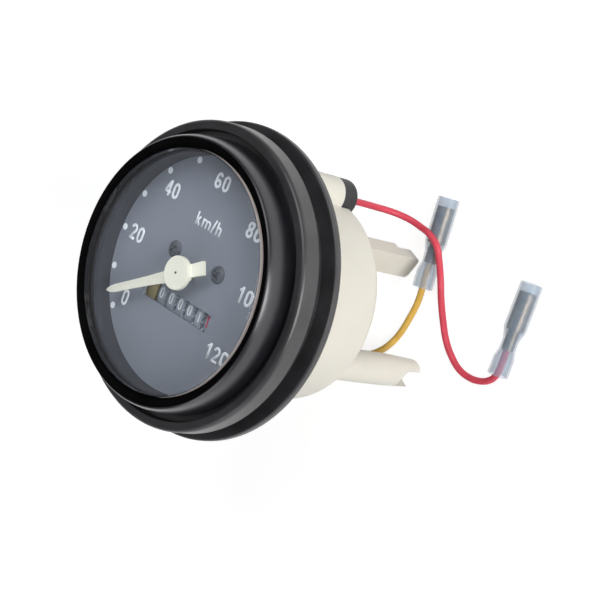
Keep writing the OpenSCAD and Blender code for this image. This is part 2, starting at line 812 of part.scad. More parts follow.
module lower_pillars() {
  color(brass)
    for (a = pillar_angles)
      at_angle(pillar_r, a)
        difference() {
          union() {
            translate([0, 0, base_z]) cylinder(d = pillar_d, h = plate_z - base_z);
            translate([0, 0, inside_z]) cylinder(d = spigot_d, h = base_t + eps, $fn = 32);
          }
          translate([0, 0, plate_z - spigot_len])
            cylinder(d = spigot_d, h = spigot_len + cut, $fn = 32);
        }
}

cross_front = wheel_w / 2 + 2.4;
cross_back = upright_y - worm_len / 2 - 0.6;
lug_t = 1.6;

module movement_frame() {
  collar_r = collar_d / 2;
  bush_r = bush_d / 2;
  mouth_r = bush_r + 1.2;
  mouth_h = 5;
  lug_w = 4;
  lug_top = cross_z + 1.8;
  color(zinc)
    difference() {
      union() {
        translate([0, 0, inside_z]) cylinder(r = base_r, h = base_t, $fn = 96);
        translate([0, 0, leg_len - collar_len])
          cylinder(r = collar_r, h = collar_len - relief_w);
        translate([0, 0, leg_len - relief_w - eps])
          cylinder(r = collar_r - relief_t, h = relief_w + 2 * eps);
        translate([0, 0, leg_len])
          cylinder(r = collar_r + shoulder_over, h = rear_t + eps);
        for (y = [cross_front, cross_back - lug_t])
          translate([cross_x - lug_w / 2, y, inside_z])
            cube([lug_w, lug_t, lug_top - inside_z]);
      }
      translate([0, 0, leg_len - collar_len - cut])
        cylinder(r = bush_r, h = collar_len + rear_t + base_t + 2 * cut);
      translate([0, 0, leg_len - collar_len - cut]) cylinder(r = mouth_r, h = mouth_h + cut);
      for (a = [lamp_angle, lamp_2_angle])
        at_angle(lamp_r, a, inside_z - cut)
          cylinder(r = pocket_r + pocket_wall + 0.3, h = base_t + 2 * cut);
      translate([cross_x, cross_back - lug_t - cut, cross_z])
        rotate([-90, 0, 0])
          cylinder(r = pivot_d / 2 + run_fit, h = cross_front - cross_back + 2 * lug_t + 2 * cut,
                   $fn = 48);
      translate([upright_x, upright_y, inside_z - cut])
        cylinder(r = pivot_d / 2 + run_fit, h = base_t + 2 * cut, $fn = 48);
      for (a = pillar_angles)
        at_angle(pillar_r, a, inside_z - cut)
          cylinder(d = spigot_d, h = base_t + 2 * cut, $fn = 32);
      for (a = case_screw_angles)
        at_angle(case_screw_r, a, inside_z - cut)
          cylinder(d = case_screw_d, h = base_t + 2 * cut, $fn = 32);
    }
}

module case_screws() {
  head_h = 1.5;
  color(steel)
    for (a = case_screw_angles)
      at_angle(case_screw_r, a) {
        translate([0, 0, leg_len])
          rotate([180, 0, 0])
            rotate_extrude($fn = 32)
              polygon(concat([[0, 0]], arc(0, 0, case_screw_head_d / 2, head_h, 0, 90, 5)));
        translate([0, 0, leg_len - eps])
          cylinder(d = case_screw_d, h = rear_t + base_t - 0.2, $fn = 32);
      }
}

/* Drive */

bush_z = leg_len - collar_len + 5;
washer_t = 0.4;

module spindle_bushing() {
  color(brass)
    translate([0, 0, bush_z]) ring(bush_d / 2, spindle_d / 2 + run_fit, base_z - bush_z);
}

module thrust_washer() {
  color(steel)
    translate([0, 0, base_z]) ring(bush_d / 2 + 0.6, spindle_d / 2 + run_fit, washer_t);
}

// Thread ridge of a worm, centred on the origin, crossing +X at its middle height.
module worm_thread(pitch_r, m, starts, length, hand) {
  ring_steps = 18;
  pitch = PI * m;
  lead = starts * pitch;
  flank = tan(20);
  root_r = pitch_r - 1.15 * m;
  tip_r = pitch_r + 0.95 * m;
  mid_w = 0.42 * pitch;
  root_w = mid_w / 2 + 1.15 * m * flank;
  tip_w = mid_w / 2 - 0.95 * m * flank;
  sunk_r = root_r - 0.08;
  for (s = [0:starts - 1]) {
    t0 = (-length / 2 - s * pitch) / lead;
    t1 = (length / 2 - s * pitch) / lead;
    steps = ceil((t1 - t0) * ring_steps);
    rings = [for (i = [0:steps]) let (
        t = t0 + (t1 - t0) * i / steps,
        a = 360 * t * hand,
        z = lead * t + s * pitch
      ) each [
        [sunk_r * cos(a), sunk_r * sin(a), z - root_w],
        [tip_r * cos(a), tip_r * sin(a), z - tip_w],
        [tip_r * cos(a), tip_r * sin(a), z + tip_w],
        [sunk_r * cos(a), sunk_r * sin(a), z + root_w]
      ]];
    sides = [for (i = [0:steps - 1], k = [0:3]) let (
        a = 4 * i + k, b = 4 * i + (k + 1) % 4, c = a + 4, d = b + 4
      ) each hand < 0 ? [[a, c, b], [b, c, d]] : [[a, b, c], [b, d, c]]];
    first = hand < 0 ? [[0, 1, 2], [0, 2, 3]] : [[0, 2, 1], [0, 3, 2]];
    e = 4 * steps;
    last = hand < 0
      ? [[e, e + 2, e + 1], [e, e + 3, e + 2]]
      : [[e, e + 1, e + 2], [e, e + 2, e + 3]];
    polyhedron(points = rings, faces = concat(sides, first, last));
  }
}

// Outline of a gear with straight-flanked teeth, the first tooth on +X.
module gear_outline(teeth, m, every = 1) {
  pitch_r = m * teeth / 2;
  root_r = pitch_r - 1.2 * m;
  tip_r = pitch_r + 0.95 * m;
  mid_w = 0.21 * PI * m;
  root_a = asin((mid_w + 1.2 * m * tan(20)) / pitch_r);
  tip_a = asin((mid_w - 0.95 * m * tan(20)) / tip_r);
  polygon([for (i = [0:every:teeth - 1]) let (a = 360 * i / teeth) each [
    [root_r * cos(a - root_a), root_r * sin(a - root_a)],
    [tip_r * cos(a - tip_a), tip_r * sin(a - tip_a)],
    [tip_r * cos(a + tip_a), tip_r * sin(a + tip_a)],
    [root_r * cos(a + root_a), root_r * sin(a + root_a)]
  ]]);
}

// Worm wheel whose teeth lean with the lead of their worm.
module worm_wheel(teeth, m, worm_r, starts, hand) {
  lean = wheel_w * (starts * m / (2 * worm_r)) / (m * teeth / 2);
  translate([0, 0, -wheel_w / 2])
    rotate([0, 0, -hand * lean * 90 / PI])
      linear_extrude(wheel_w, twist = -hand * lean * 180 / PI, slices = 2)
        gear_outline(teeth, m);
}

spindle_hand = -1;
spindle_z = bush_z - 2;

module drive_spindle() {
  core_r = worm_1_r - 1.15 * gear_m;
  shoulder_z = base_z + washer_t;
  staff_hole = 1.5;
  color(steel)
    difference() {
      union() {
        translate([0, 0, spindle_z]) cylinder(d = spindle_d, h = shoulder_z - spindle_z);
        translate([0, 0, shoulder_z - eps])
          cylinder(r = core_r, h = plate_z - shoulder_z - 0.2 + eps);
        translate([0, 0, plate_z - 0.2 - eps])
          cylinder(d = spindle_top_d, h = magnet_top + 0.2 - plate_z + eps);
        translate([0, 0, cross_z]) worm_thread(worm_1_r, gear_m, 1, worm_len, spindle_hand);
      }
      translate([-socket_af / 2, -socket_af / 2, spindle_z - cut])
        cube([socket_af, socket_af, socket_depth + cut]);
      translate([0, 0, magnet_top - staff_hole])
        cylinder(r = staff_d / 4 + run_fit, h = staff_hole + cut, $fn = 32);
    }
}

module magnet() {
  color([0.32, 0.32, 0.35])
    translate([0, 0, magnet_z]) ring(magnet_d / 2, spindle_top_d / 2, magnet_h - 0.2);
}

module field_cup() {
  floor_t = 0.8;
  cup_h = speed_cup_z + speed_cup_t - field_z;
  color(steel)
    translate([0, 0, field_z]) {
      ring(field_r, spindle_top_d / 2 + 1, floor_t);
      translate([0, 0, floor_t - eps]) ring(field_r, field_in_r, cup_h - floor_t + eps);
    }
}

module speed_cup() {
  skirt_h = magnet_h + cup_clear - 0.5;
  boss_h = 1;
  color(aluminium)
    difference() {
      union() {
        translate([0, 0, speed_cup_z]) cylinder(r = speed_cup_r, h = speed_cup_t);
        translate([0, 0, speed_cup_z - skirt_h])
          ring(speed_cup_r, cup_in_r, skirt_h + eps);
        translate([0, 0, speed_cup_z]) cylinder(r = staff_d, h = speed_cup_t + boss_h);
      }
      translate([0, 0, speed_cup_z - cut])
        cylinder(d = staff_d, h = speed_cup_t + boss_h + 2 * cut);
    }
}

/* Distance counter */

module cross_shaft() {
  y0 = cross_back + 0.15;
  y1 = cross_front - 0.15;
  pivot_len = lug_t - 0.1;
  color(brass)
    translate([cross_x, 0, cross_z])
      rotate([-90, 0, 0]) {
        translate([0, 0, y0]) cylinder(d = shaft_d, h = y1 - y0, $fn = 48);
        translate([0, 0, y0 - pivot_len])
          cylinder(d = pivot_d, h = y1 - y0 + 2 * pivot_len, $fn = 48);
        rotate([0, 0, 180 / wheel_1_teeth])
          worm_wheel(wheel_1_teeth, gear_m, worm_1_r, 1, spindle_hand);
        translate([0, 0, upright_y]) {
          cylinder(r = worm_2_r - 1.15 * gear_m, h = worm_len + gear_m, center = true, $fn = 48);
          worm_thread(worm_2_r, gear_m, wheel_2_starts, worm_len, 1);
        }
      }
}

module upright_shaft() {
  z0 = base_z + 0.15;
  z1 = bridge_z - 0.15;
  color(brass)
    translate([upright_x, upright_y, 0]) {
      translate([0, 0, z0]) cylinder(d = shaft_d, h = z1 - z0, $fn = 48);
      translate([0, 0, inside_z + 0.1])
        cylinder(d = pivot_d, h = bridge_top - inside_z - 0.2, $fn = 48);
      translate([0, 0, cross_z])
        rotate([0, 0, 180 / wheel_2_teeth])
          worm_wheel(wheel_2_teeth, gear_m, worm_2_r, wheel_2_starts, 1);
      translate([0, 0, axle_z]) {
        cylinder(r = worm_3_r - 1.15 * counter_m, h = worm_len, center = true, $fn = 48);
        rotate([0, 0, 90]) worm_thread(worm_3_r, counter_m, 1, worm_len - 1, 1);
      }
    }
}

// Counter parts are drawn along +Z and turned onto the axle, so that local Y stays Y.
module on_axle(x, y) {
  translate([x, y, axle_z]) rotate([0, 90, 0]) children();
}

rim_z = lock_w;
rim_w = drum_w - lock_w - ring_gear_w;
drum_hub_r = axle_d / 2 + 1;

// Number drum: locking disc with its carry teeth, number rim and toothed ring.
module drum(shade) {
  lock_r = ring_gear_r + 0.25;
  rim_in_r = ring_gear_r - 1.05;
  ring_in_r = ring_gear_r - 1.35;
  carry_gap = 1.9;
  color(shade)
    difference() {
      union() {
        cylinder(r = lock_r, h = lock_w, $fn = 60);
        for (side = [-1, 1])
          rotate([0, 0, 90 + side * 360 / ring_gear_teeth])
            translate([lock_r - 0.6, -0.3, 0]) cube([1, 0.6, lock_w]);
        translate([0, 0, rim_z - eps]) ring(drum_r, rim_in_r, rim_w + eps, $fn = 60);
        translate([0, 0, rim_z + rim_w - eps])
          difference() {
            linear_extrude(ring_gear_w + eps)
              rotate(180 / ring_gear_teeth) gear_outline(ring_gear_teeth, pinion_m);
            translate([0, 0, -cut]) cylinder(r = ring_in_r, h = ring_gear_w + 2 * cut);
          }
        cylinder(r = drum_hub_r, h = drum_w, $fn = 48);
      }
      translate([0, 0, -cut]) cylinder(r = drum_bore_r, h = drum_w + 2 * cut, $fn = 48);
      translate([-carry_gap / 2, lock_r - 1, -cut]) cube([carry_gap, 2, lock_w + cut]);
    }
}

module number_drum(i) {
  on_axle(counter_left + i * drum_pitch, axle_y) drum(drum_black);
}

drive_gear_z = upright_x - wheel_w / 2 - counter_left - (drum_count - 1) * drum_pitch;

// The fastest drum carries the wheel that the upright shaft turns.
module drum_tenths() {
  on_axle(counter_left + (drum_count - 1) * drum_pitch, axle_y) {
    drum(drum_black);
    color(drum_black)
      difference() {
        union() {
          translate([0, 0, drum_w - eps])
            cylinder(r = wheel_3_r - 1.7 * counter_m, h = drive_gear_z - drum_w + wheel_w / 2,
                     $fn = 48);
          translate([0, 0, drive_gear_z + wheel_w / 2])
            worm_wheel(wheel_3_teeth, counter_m, worm_3_r, 1, 1);
        }
        translate([0, 0, -cut])
          cylinder(r = drum_bore_r, h = drive_gear_z + wheel_w + 2 * cut, $fn = 48);
      }
  }
}

// Pinion with every second tooth cut short, so that the locking disc holds it still.
module transfer_pinion(i) {
  side_play = 0.1;
  full_w = ring_gear_w;
  short_w = drum_gap + lock_w - side_play - 0.05;
  color(brass)
    on_axle(counter_left + i * drum_pitch + drum_w - ring_gear_w + side_play, pinion_y)
      difference() {
        union() {
          linear_extrude(full_w) rotate(90) gear_outline(pinion_teeth, pinion_m);
          translate([0, 0, full_w - eps])
            linear_extrude(short_w + eps)
              rotate(90 - 180 / 4) gear_outline(pinion_teeth, pinion_m, 2);
        }
        translate([0, 0, -cut])
          cylinder(r = pinion_axle_d / 2 + run_fit, h = full_w + short_w + 2 * cut, $fn = 48);
      }
}

bracket_left_x = counter_left - bracket_gap - bracket_t;
bracket_right_x = upright_x + worm_3_r + counter_m + 0.3;

module counter_axle() {
  collar_r = axle_d / 2 + 0.6;
  left = bracket_left_x;
  right = bracket_right_x + bracket_t;
  left_seat = bracket_left_x + bracket_t;
  right_gap = bracket_right_x - upright_x - wheel_w / 2 - 0.15;
  color(steel)
    translate([0, axle_y, axle_z])
      rotate([0, 90, 0]) {
        translate([0, 0, left]) cylinder(d = axle_d, h = right - left, $fn = 48);
        translate([0, 0, left_seat]) cylinder(r = collar_r, h = bracket_gap - 0.15, $fn = 48);
        translate([0, 0, bracket_right_x - right_gap])
          cylinder(r = collar_r, h = right_gap, $fn = 48);
      }
}

module pinion_axle() {
  left = bracket_left_x;
  right = bracket_right_x + bracket_t;
  collar_r = pinion_axle_d / 2 + 0.5;
  shim = 0.15;
  color(steel)
    translate([0, pinion_y, axle_z])
      rotate([0, 90, 0]) {
        translate([0, 0, left]) cylinder(d = pinion_axle_d, h = right - left, $fn = 48);
        for (i = [0:drum_count - 2]) {
          gap_start = i == 0
            ? bracket_left_x + bracket_t
            : counter_left + (i - 1) * drum_pitch + drum_w + drum_gap + lock_w - 0.05;
          gap_end = counter_left + i * drum_pitch + drum_w - ring_gear_w + 0.1;
          translate([0, 0, gap_start + shim])
            cylinder(r = collar_r, h = gap_end - gap_start - 2 * shim, $fn = 48);
        }
        last_start = counter_left + (drum_count - 2) * drum_pitch + drum_w + drum_gap
          + lock_w - 0.05;
        translate([0, 0, last_start + shim])
          cylinder(r = collar_r, h = bracket_right_x - last_start - shim, $fn = 48);
      }
}

// Side cheek of the counter with a foot against the underside of the bridge.
module bracket(x, side) {
  front = axle_y + drum_hub_r + 2;
  back = pinion_y - pinion_axle_d / 2 - 1.4;
  bottom = axle_z - drum_hub_r - 1.2;
  foot_w = 2.4;
  foot_x = side > 0 ? x : x + bracket_t - foot_w;
  foot_back = back + 3;
  color(steel)
    difference() {
      union() {
        translate([x, back, bottom]) cube([bracket_t, front - back, bridge_z - bottom]);
        translate([foot_x, foot_back, bridge_z - bracket_t])
          cube([foot_w, front - foot_back, bracket_t]);
      }
      translate([x - cut, axle_y, axle_z])
        rotate([0, 90, 0]) cylinder(d = axle_d, h = bracket_t + 2 * cut, $fn = 48);
      translate([x - cut, pinion_y, axle_z])
        rotate([0, 90, 0]) cylinder(d = pinion_axle_d, h = bracket_t + 2 * cut, $fn = 48);
    }
}

module counter_bracket_left() {
  bracket(bracket_left_x, -1);
}

module counter_bracket_right() {
  bracket(bracket_right_x, 1);
}

/* Lamps */

module lamp_holder(a) {
  cap_r = lamp_boss_d / 2 - 0.1;
  plug_r = lamp_bore_d / 2 - seat;
  cap_z = boss_z - holder_cap_h;
  plug_top = boss_z + holder_plug_h;
  socket_top = holder_plug_h - 2;
  color(rubber)
    at_angle(lamp_r, a)
      difference() {
        union() {
          translate([0, 0, cap_z])
            rotate_extrude($fn = 60)
              polygon(concat(
                [[0, 0]],
                arc(cap_r - holder_round, holder_round, holder_round, holder_round, -90, 0, 5),
                [[cap_r, holder_cap_h], [0, holder_cap_h]]
              ));
          translate([0, 0, boss_z - eps]) cylinder(r = plug_r, h = plug_top - boss_z + eps);
        }
        translate([0, 0, plug_top - socket_top])
          cylinder(d = bulb_base_d, h = socket_top + cut, $fn = 48);
      }
}

module bulb(a) {
  plug_top = boss_z + holder_plug_h;
  socket_top = holder_plug_h - 2;
  glass_r = bulb_d / 2;
  color([0.95, 0.93, 0.85, 0.6])
    at_angle(lamp_r, a, plug_top)
      union() {
        translate([0, 0, -socket_top])
          cylinder(d = bulb_base_d, h = socket_top + eps, $fn = 48);
        rotate_extrude($fn = 48)
          polygon(concat(
            [[0, 0], [glass_r, 0]],
            arc(0, bulb_len - glass_r, glass_r, glass_r, 0, 90, 6)
          ));
      }
}

/* Leads and connectors */

// Centre line of the red lead, from the lamp holder to the crimp of its connector.
red_route = [
  [1.5, 28.2, 29], [1.5, 28.2, 24.5], [1.5, 28.2, 20], [2, 28.2, 16], [3, 28.3, 12.8],
  [4.8, 28.3, 10], [7.5, 28.1, 8], [10.8, 27.6, 7.2], [14.5, 26.9, 7.1], [17.6, 25, 6.4],
  [19, 21.4, 4.6], [20, 16.8, 2.2], [22, 11.8, 1.1], [25, 7.3, 1], [28.5, 2.9, 1],
  [32.4, -0.3, 1], [36.2, -2.2, 1], [40.1, -2.7, 1], [43.4, -2.1, 1.1], [46, -0.8, 1.4],
  [47.8, 1.1, 2], [48.7, 3.4, 2.7], [48.77, 6.4, 3], [48.64, 8.89, 3]
];

// Centre line of the yellow lead.
yellow_route = [
  [-9.6, -26.5, 29], [-9.6, -26.5, 24], [-9.6, -26.5, 19], [-9.5, -26.5, 14],
  [-9, -26.4, 9.6], [-7.6, -25.8, 5.6], [-5.2, -24.4, 2.6], [-2.4, -22.2, 1.2],
  [0, -18.8, 1], [1.8, -15.2, 1], [4.2, -12.6, 1], [6.9, -11, 1], [9.6, -8.7, 1],
  [11.9, -5.6, 1], [13.6, -1.6, 1], [14.5, 3, 1], [15.3, 7.4, 1.4], [15.8, 11, 2.3],
  [15.7, 14.9, 3], [15.15, 19.35, 3]
];

red_sleeve_at = [49, 2, 93];
yellow_sleeve_at = [16, 12.5, 97.1];
crimp_start = 7;

function unit(v) = v / norm(v);
function tangent(p, i) =
  i == 0 ? unit(p[1] - p[0])
  : i == len(p) - 1 ? unit(p[i] - p[i - 1])
  : unit(unit(p[i + 1] - p[i]) + unit(p[i] - p[i - 1]));
// Side direction of each ring, carried along the route without twisting.
function carried(p, i, side) =
  let (t = tangent(p, i), s = unit(side - (side * t) * t))
  i == len(p) - 1 ? [s] : concat([s], carried(p, i + 1, s));

module lead(route, tone) {
  sides = 8;
  n = len(route);
  side = carried(route, 0, [1, 0, 0]);
  points = [for (i = [0:n - 1]) let (t = tangent(route, i), v = cross(t, side[i]))
    for (k = [0:sides - 1]) let (a = 360 * k / sides)
      route[i] + lead_d / 2 * (cos(a) * side[i] + sin(a) * v)];
  walls = [for (i = [0:n - 2], k = [0:sides - 1]) let (
      a = sides * i + k, b = sides * i + (k + 1) % sides
    ) each [[a, b + sides, b], [a, a + sides, b + sides]]];
  start = [for (k = [1:sides - 2]) [0, k, k + 1]];
  e = sides * (n - 1);
  end = [for (k = [1:sides - 2]) [e, e + k + 1, e + k]];
  color(tone) polyhedron(points = points, faces = concat(walls, start, end));
}

module red_lead() {
  lead(red_route, [0.80, 0.20, 0.24]);
}

module yellow_lead() {
  lead(yellow_route, [0.87, 0.66, 0.22]);
}

// Connector parts are drawn along +Z from the wire end and laid on the floor.
module lay_connector(at) {
  translate([at[0], at[1], sleeve_r]) rotate([0, 0, at[2]]) rotate([0, 90, 0]) children();
}

socket_start = 12.5;

module terminal(at) {
  crimp_r = sleeve_neck_d / 2 - sleeve_t - 0.1;
  color(brass)
    lay_connector(at)
      difference() {
        union() {
          translate([0, 0, crimp_start])
            cylinder(r = crimp_r, h = socket_start - crimp_start + eps, $fn = 32);
          translate([0, 0, socket_start]) cylinder(r = socket_r, h = socket_len, $fn = 48);
        }
        translate([0, 0, socket_start + 1])
          cylinder(d = socket_d, h = socket_len, $fn = 48);
      }
}

module sleeve(at) {
  skirt_r = sleeve_r - 0.2;
  throat_r = sleeve_neck_d / 2;
  outer = [
    [skirt_r, 0], [skirt_r, 4.5], [throat_r, 7], [throat_r, 9.8],
    [sleeve_r, socket_start + 0.3], [sleeve_r, sleeve_len]
  ];
  inner = [for (i = [len(outer) - 1:-1:0]) [outer[i][0] - sleeve_t, outer[i][1]]];
  color([0.66, 0.75, 0.84, 0.5])
    lay_connector(at) rotate_extrude($fn = 48) polygon(concat(outer, inner));
}

housing();
bezel();
crystal();
crystal_gasket();
inner_ring();
mounting_ring();
dial_plate();
dial_screws();
pointer();
pointer_staff();
collet();
hairspring();
hairspring_stud();
bridge();
bridge_screws();
upper_pillars();
bearing_plate();
lower_pillars();
movement_frame();
case_screws();
spindle_bushing();
thrust_washer();
drive_spindle();
magnet();
field_cup();
speed_cup();
cross_shaft();
upright_shaft();
counter_axle();
pinion_axle();
counter_bracket_left();
counter_bracket_right();
number_drum(0);  // drum_100000
number_drum(1);  // drum_10000
number_drum(2);  // drum_1000
number_drum(3);  // drum_100
number_drum(4);  // drum_10
drum_tenths();
transfer_pinion(0);  // pinion_100000
transfer_pinion(1);  // pinion_10000
transfer_pinion(2);  // pinion_1000
transfer_pinion(3);  // pinion_100
transfer_pinion(4);  // pinion_10
lamp_holder(lamp_angle);  // lamp_holder_top
lamp_holder(lamp_2_angle);  // lamp_holder_rear
bulb(lamp_angle);  // bulb_top
bulb(lamp_2_angle);  // bulb_rear
red_lead();
yellow_lead();
terminal(red_sleeve_at);  // red_terminal
terminal(yellow_sleeve_at);  // yellow_terminal
sleeve(red_sleeve_at);  // red_sleeve
sleeve(yellow_sleeve_at);  // yellow_sleeve
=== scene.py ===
# %% [markdown]
# # A round speedometer
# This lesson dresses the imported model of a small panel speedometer. The model gives every
# part its size and place, and the joints that move it. What is left for Blender is what a
# maker adds last: paint, print, rubber, clear plastic, cords and light.

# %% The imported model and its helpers
import math
import bmesh
import bpy
from mathutils import Matrix, Vector


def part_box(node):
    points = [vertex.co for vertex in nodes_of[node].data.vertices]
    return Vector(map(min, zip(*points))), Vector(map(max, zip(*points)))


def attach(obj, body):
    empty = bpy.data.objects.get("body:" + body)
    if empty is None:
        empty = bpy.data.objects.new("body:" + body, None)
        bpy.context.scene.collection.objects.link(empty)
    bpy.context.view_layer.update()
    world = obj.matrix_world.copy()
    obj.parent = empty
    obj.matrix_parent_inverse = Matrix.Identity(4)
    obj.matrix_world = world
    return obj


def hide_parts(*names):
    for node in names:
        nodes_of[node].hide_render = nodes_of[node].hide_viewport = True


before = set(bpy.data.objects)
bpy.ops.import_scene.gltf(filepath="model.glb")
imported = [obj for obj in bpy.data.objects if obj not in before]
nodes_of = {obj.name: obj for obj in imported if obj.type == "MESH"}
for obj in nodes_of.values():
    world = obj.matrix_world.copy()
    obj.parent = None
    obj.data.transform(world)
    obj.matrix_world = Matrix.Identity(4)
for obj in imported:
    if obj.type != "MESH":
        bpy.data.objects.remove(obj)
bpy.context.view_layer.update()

mm = 0.001
print("parts loaded:", len(nodes_of))

# %% [markdown]
# The photograph looks down on the dial from its right. A long lens keeps the circles nearly
# true ellipses. A camera could be aimed by eye, but here its place and turn were worked out
# from the dial's dots and both rims, so they are written as plain numbers.

# %% The camera
bpy.context.scene.view_settings.view_transform = "Standard"
camera_data = bpy.data.cameras.new("studio_camera")
camera_data.sensor_width = 36
camera_data.lens = 94.114
camera_data.clip_start = 0.01
camera = bpy.data.objects.new("studio_camera", camera_data)
camera.location = (267.238 * mm, 73.645 * mm, 336.455 * mm)
camera.rotation_euler = [math.radians(a) for a in (9.0395, 41.2701, 29.2217)]
bpy.context.scene.collection.objects.link(camera)
bpy.context.scene.camera = camera
print("lens", camera_data.lens, "mm")

# %% [markdown]
# Two thin leads leave the lamp holders, drop to the table and end in insulated sockets. A
# mesh tube would work, but one smooth curve with a round bevel stays easy to bend later. The
# points are the route of the solid lead, so the curve lies inside the same space.

# %% The two leads
red_route = [
    (1.5, 28.2, 29), (1.5, 28.2, 24.5), (1.5, 28.2, 20), (2, 28.2, 16), (3, 28.3, 12.8),
    (4.8, 28.3, 10), (7.5, 28.1, 8), (10.8, 27.6, 7.2), (14.5, 26.9, 7.1), (17.6, 25, 6.4),
    (19, 21.4, 4.6), (20, 16.8, 2.2), (22, 11.8, 1.1), (25, 7.3, 1), (28.5, 2.9, 1),
    (32.4, -0.3, 1), (36.2, -2.2, 1), (40.1, -2.7, 1), (43.4, -2.1, 1.1), (46, -0.8, 1.4),
    (47.8, 1.1, 2), (48.7, 3.4, 2.7), (48.77, 6.4, 3), (48.64, 8.89, 3)]
yellow_route = [
    (-9.6, -26.5, 29), (-9.6, -26.5, 24), (-9.6, -26.5, 19), (-9.5, -26.5, 14),
    (-9, -26.4, 9.6), (-7.6, -25.8, 5.6), (-5.2, -24.4, 2.6), (-2.4, -22.2, 1.2),
    (0, -18.8, 1), (1.8, -15.2, 1), (4.2, -12.6, 1), (6.9, -11, 1), (9.6, -8.7, 1),
    (11.9, -5.6, 1), (13.6, -1.6, 1), (14.5, 3, 1), (15.3, 7.4, 1.4), (15.8, 11, 2.3),
    (15.7, 14.9, 3), (15.15, 19.35, 3)]
lead_width = 1.85 * mm


def lay_lead(name, route):
    """One open spline through the route, with a round section."""
    curve = bpy.data.curves.new(name, "CURVE")
    curve.dimensions = "3D"
    curve.resolution_u = 8
    # The bevel is one unit deep and each point's radius is the lead's own, because Blender
    # grows a curve's box by the radius of its points.
    curve.bevel_depth = 1
    curve.bevel_resolution = 5
    curve.use_fill_caps = True
    spline = curve.splines.new("BEZIER")
    spline.bezier_points.add(len(route) - 1)
    for point, place in zip(spline.bezier_points, route):
        point.co = [v * mm for v in place]
        point.radius = lead_width / 2
        point.handle_left_type = point.handle_right_type = "AUTO"
    lead = bpy.data.objects.new(name, curve)
    bpy.context.scene.collection.objects.link(lead)
    bpy.context.view_layer.update()
    print(name, "is", round(spline.calc_length() / mm, 1), "mm long")
    return lead, spline.calc_length()


red_wire, red_length = lay_lead("red_wire", red_route)
yellow_wire, yellow_length = lay_lead("yellow_wire", yellow_route)
for wire, route, length, colour in ((red_wire, red_route, red_length, "red"),
                                    (yellow_wire, yellow_route, yellow_length, "yellow")):
    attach(wire, "case")
    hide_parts(colour + "_lead")

# %% [markdown]
# A few steps come back all through the lesson: choosing one object, opening its mesh, and
# adding a Math node to a material. Each is written once, as a helper.

# %% Helpers for choosing and opening an object


def select_only(thing):
    """Make one object the only selected one, and the active one."""
    bpy.ops.object.select_all(action="DESELECT")
    thing.select_set(True)
    bpy.context.view_layer.objects.active = thing


def to_mesh_edit(thing):
    """Open one object for editing."""
    select_only(thing)
    bpy.ops.object.mode_set(mode="EDIT")
    bpy.ops.mesh.select_mode(type="FACE")


def math_node(tree, operation, first, second):
    """A Math node's result. Each input is another node's output or a plain number."""
    node = tree.nodes.new("ShaderNodeMath")
    node.operation = operation
    for socket, source in zip(node.inputs, (first, second)):
        if isinstance(source, float):
            socket.default_value = source
        else:
            tree.links.new(source, socket)
    return node.outputs[0]


print("helpers ready")

# %% [markdown]
# The table is a plain pale sheet, and soft lamps stand round it. A bright floor could be made
# with more light, but that would bleach the cream case. So the floor glows a little by
# itself, for the camera, mirrors and clear plastic alone, and it still takes the shadow. Black
# gloss shows its shape only by what it mirrors, so one low lamp stands where its flank looks.

# %% The floor
floor_size = 4
floor_z = -0.2 * mm
seen_glow, mirrored_glow = 0.74, 0.6
bpy.ops.object.select_all(action="DESELECT")
bpy.ops.mesh.primitive_plane_add(size=floor_size, location=(0, 0, floor_z))
floor = bpy.context.object
floor.name = "floor"
floor_paper = bpy.data.materials.new("table_paper")
floor_paper.use_nodes = True
tree = floor_paper.node_tree
paper = tree.nodes["Principled BSDF"]
paper.inputs["Base Color"].default_value = (0.56, 0.56, 0.56, 1)
paper.inputs["Roughness"].default_value = 0.9
paper.inputs["Specular IOR Level"].default_value = 0
glow = tree.nodes.new("ShaderNodeEmission")
both = tree.nodes.new("ShaderNodeAddShader")
ray = tree.nodes.new("ShaderNodeLightPath")
straight = math_node(tree, "MAXIMUM", ray.outputs["Is Camera Ray"],
                     ray.outputs["Is Transmission Ray"])
seen = math_node(tree, "MULTIPLY", straight, seen_glow)
mirrored = math_node(tree, "MULTIPLY", ray.outputs["Is Glossy Ray"], mirrored_glow)
tree.links.new(math_node(tree, "MAXIMUM", seen, mirrored), glow.inputs["Strength"])
tree.links.new(paper.outputs[0], both.inputs[0])
tree.links.new(glow.outputs[0], both.inputs[1])
tree.links.new(both.outputs[0], tree.nodes["Material Output"].inputs["Surface"])
floor.data.materials.append(floor_paper)
print("floor at", floor.location.z)

# %% The lamps and the room
object_middle = Vector((0, 0, 0.04))
world = bpy.data.worlds.new("studio_room")
bpy.context.scene.world = world
world.use_nodes = True
world.node_tree.nodes["Background"].inputs["Color"].default_value = (0.93, 0.96, 1, 1)
world.node_tree.nodes["Background"].inputs["Strength"].default_value = 0.1


def hang_lamp(name, place, size, watts, colour=(1, 1, 1)):
    """A square soft lamp that faces the middle of the object."""
    data = bpy.data.lights.new(name, "AREA")
    data.shape = "SQUARE"
    data.size = size
    data.energy = watts
    data.color = colour
    lamp = bpy.data.objects.new(name, data)
    lamp.location = place
    aim = object_middle - Vector(place)
    lamp.rotation_euler = aim.to_track_quat("-Z", "Y").to_euler()
    bpy.context.scene.collection.objects.link(lamp)
    print(name, watts, "W")


hang_lamp("right_lamp", (0.83, 0.1, 0.33), 0.5, 5.0, (1, 0.98, 0.96))
hang_lamp("top_lamp", (0.2, 0.75, 0.85), 0.8, 5.3)
hang_lamp("front_lamp", (0.25, -0.9, 0.45), 0.7, 2.6, (0.94, 0.97, 1))
hang_lamp("low_lamp", (0.9, 0.12, 0.09), 0.3, 1.1)
hang_lamp("left_lamp", (-0.72, -0.2, 0.86), 1.0, 0.5, (0.98, 0.97, 1))

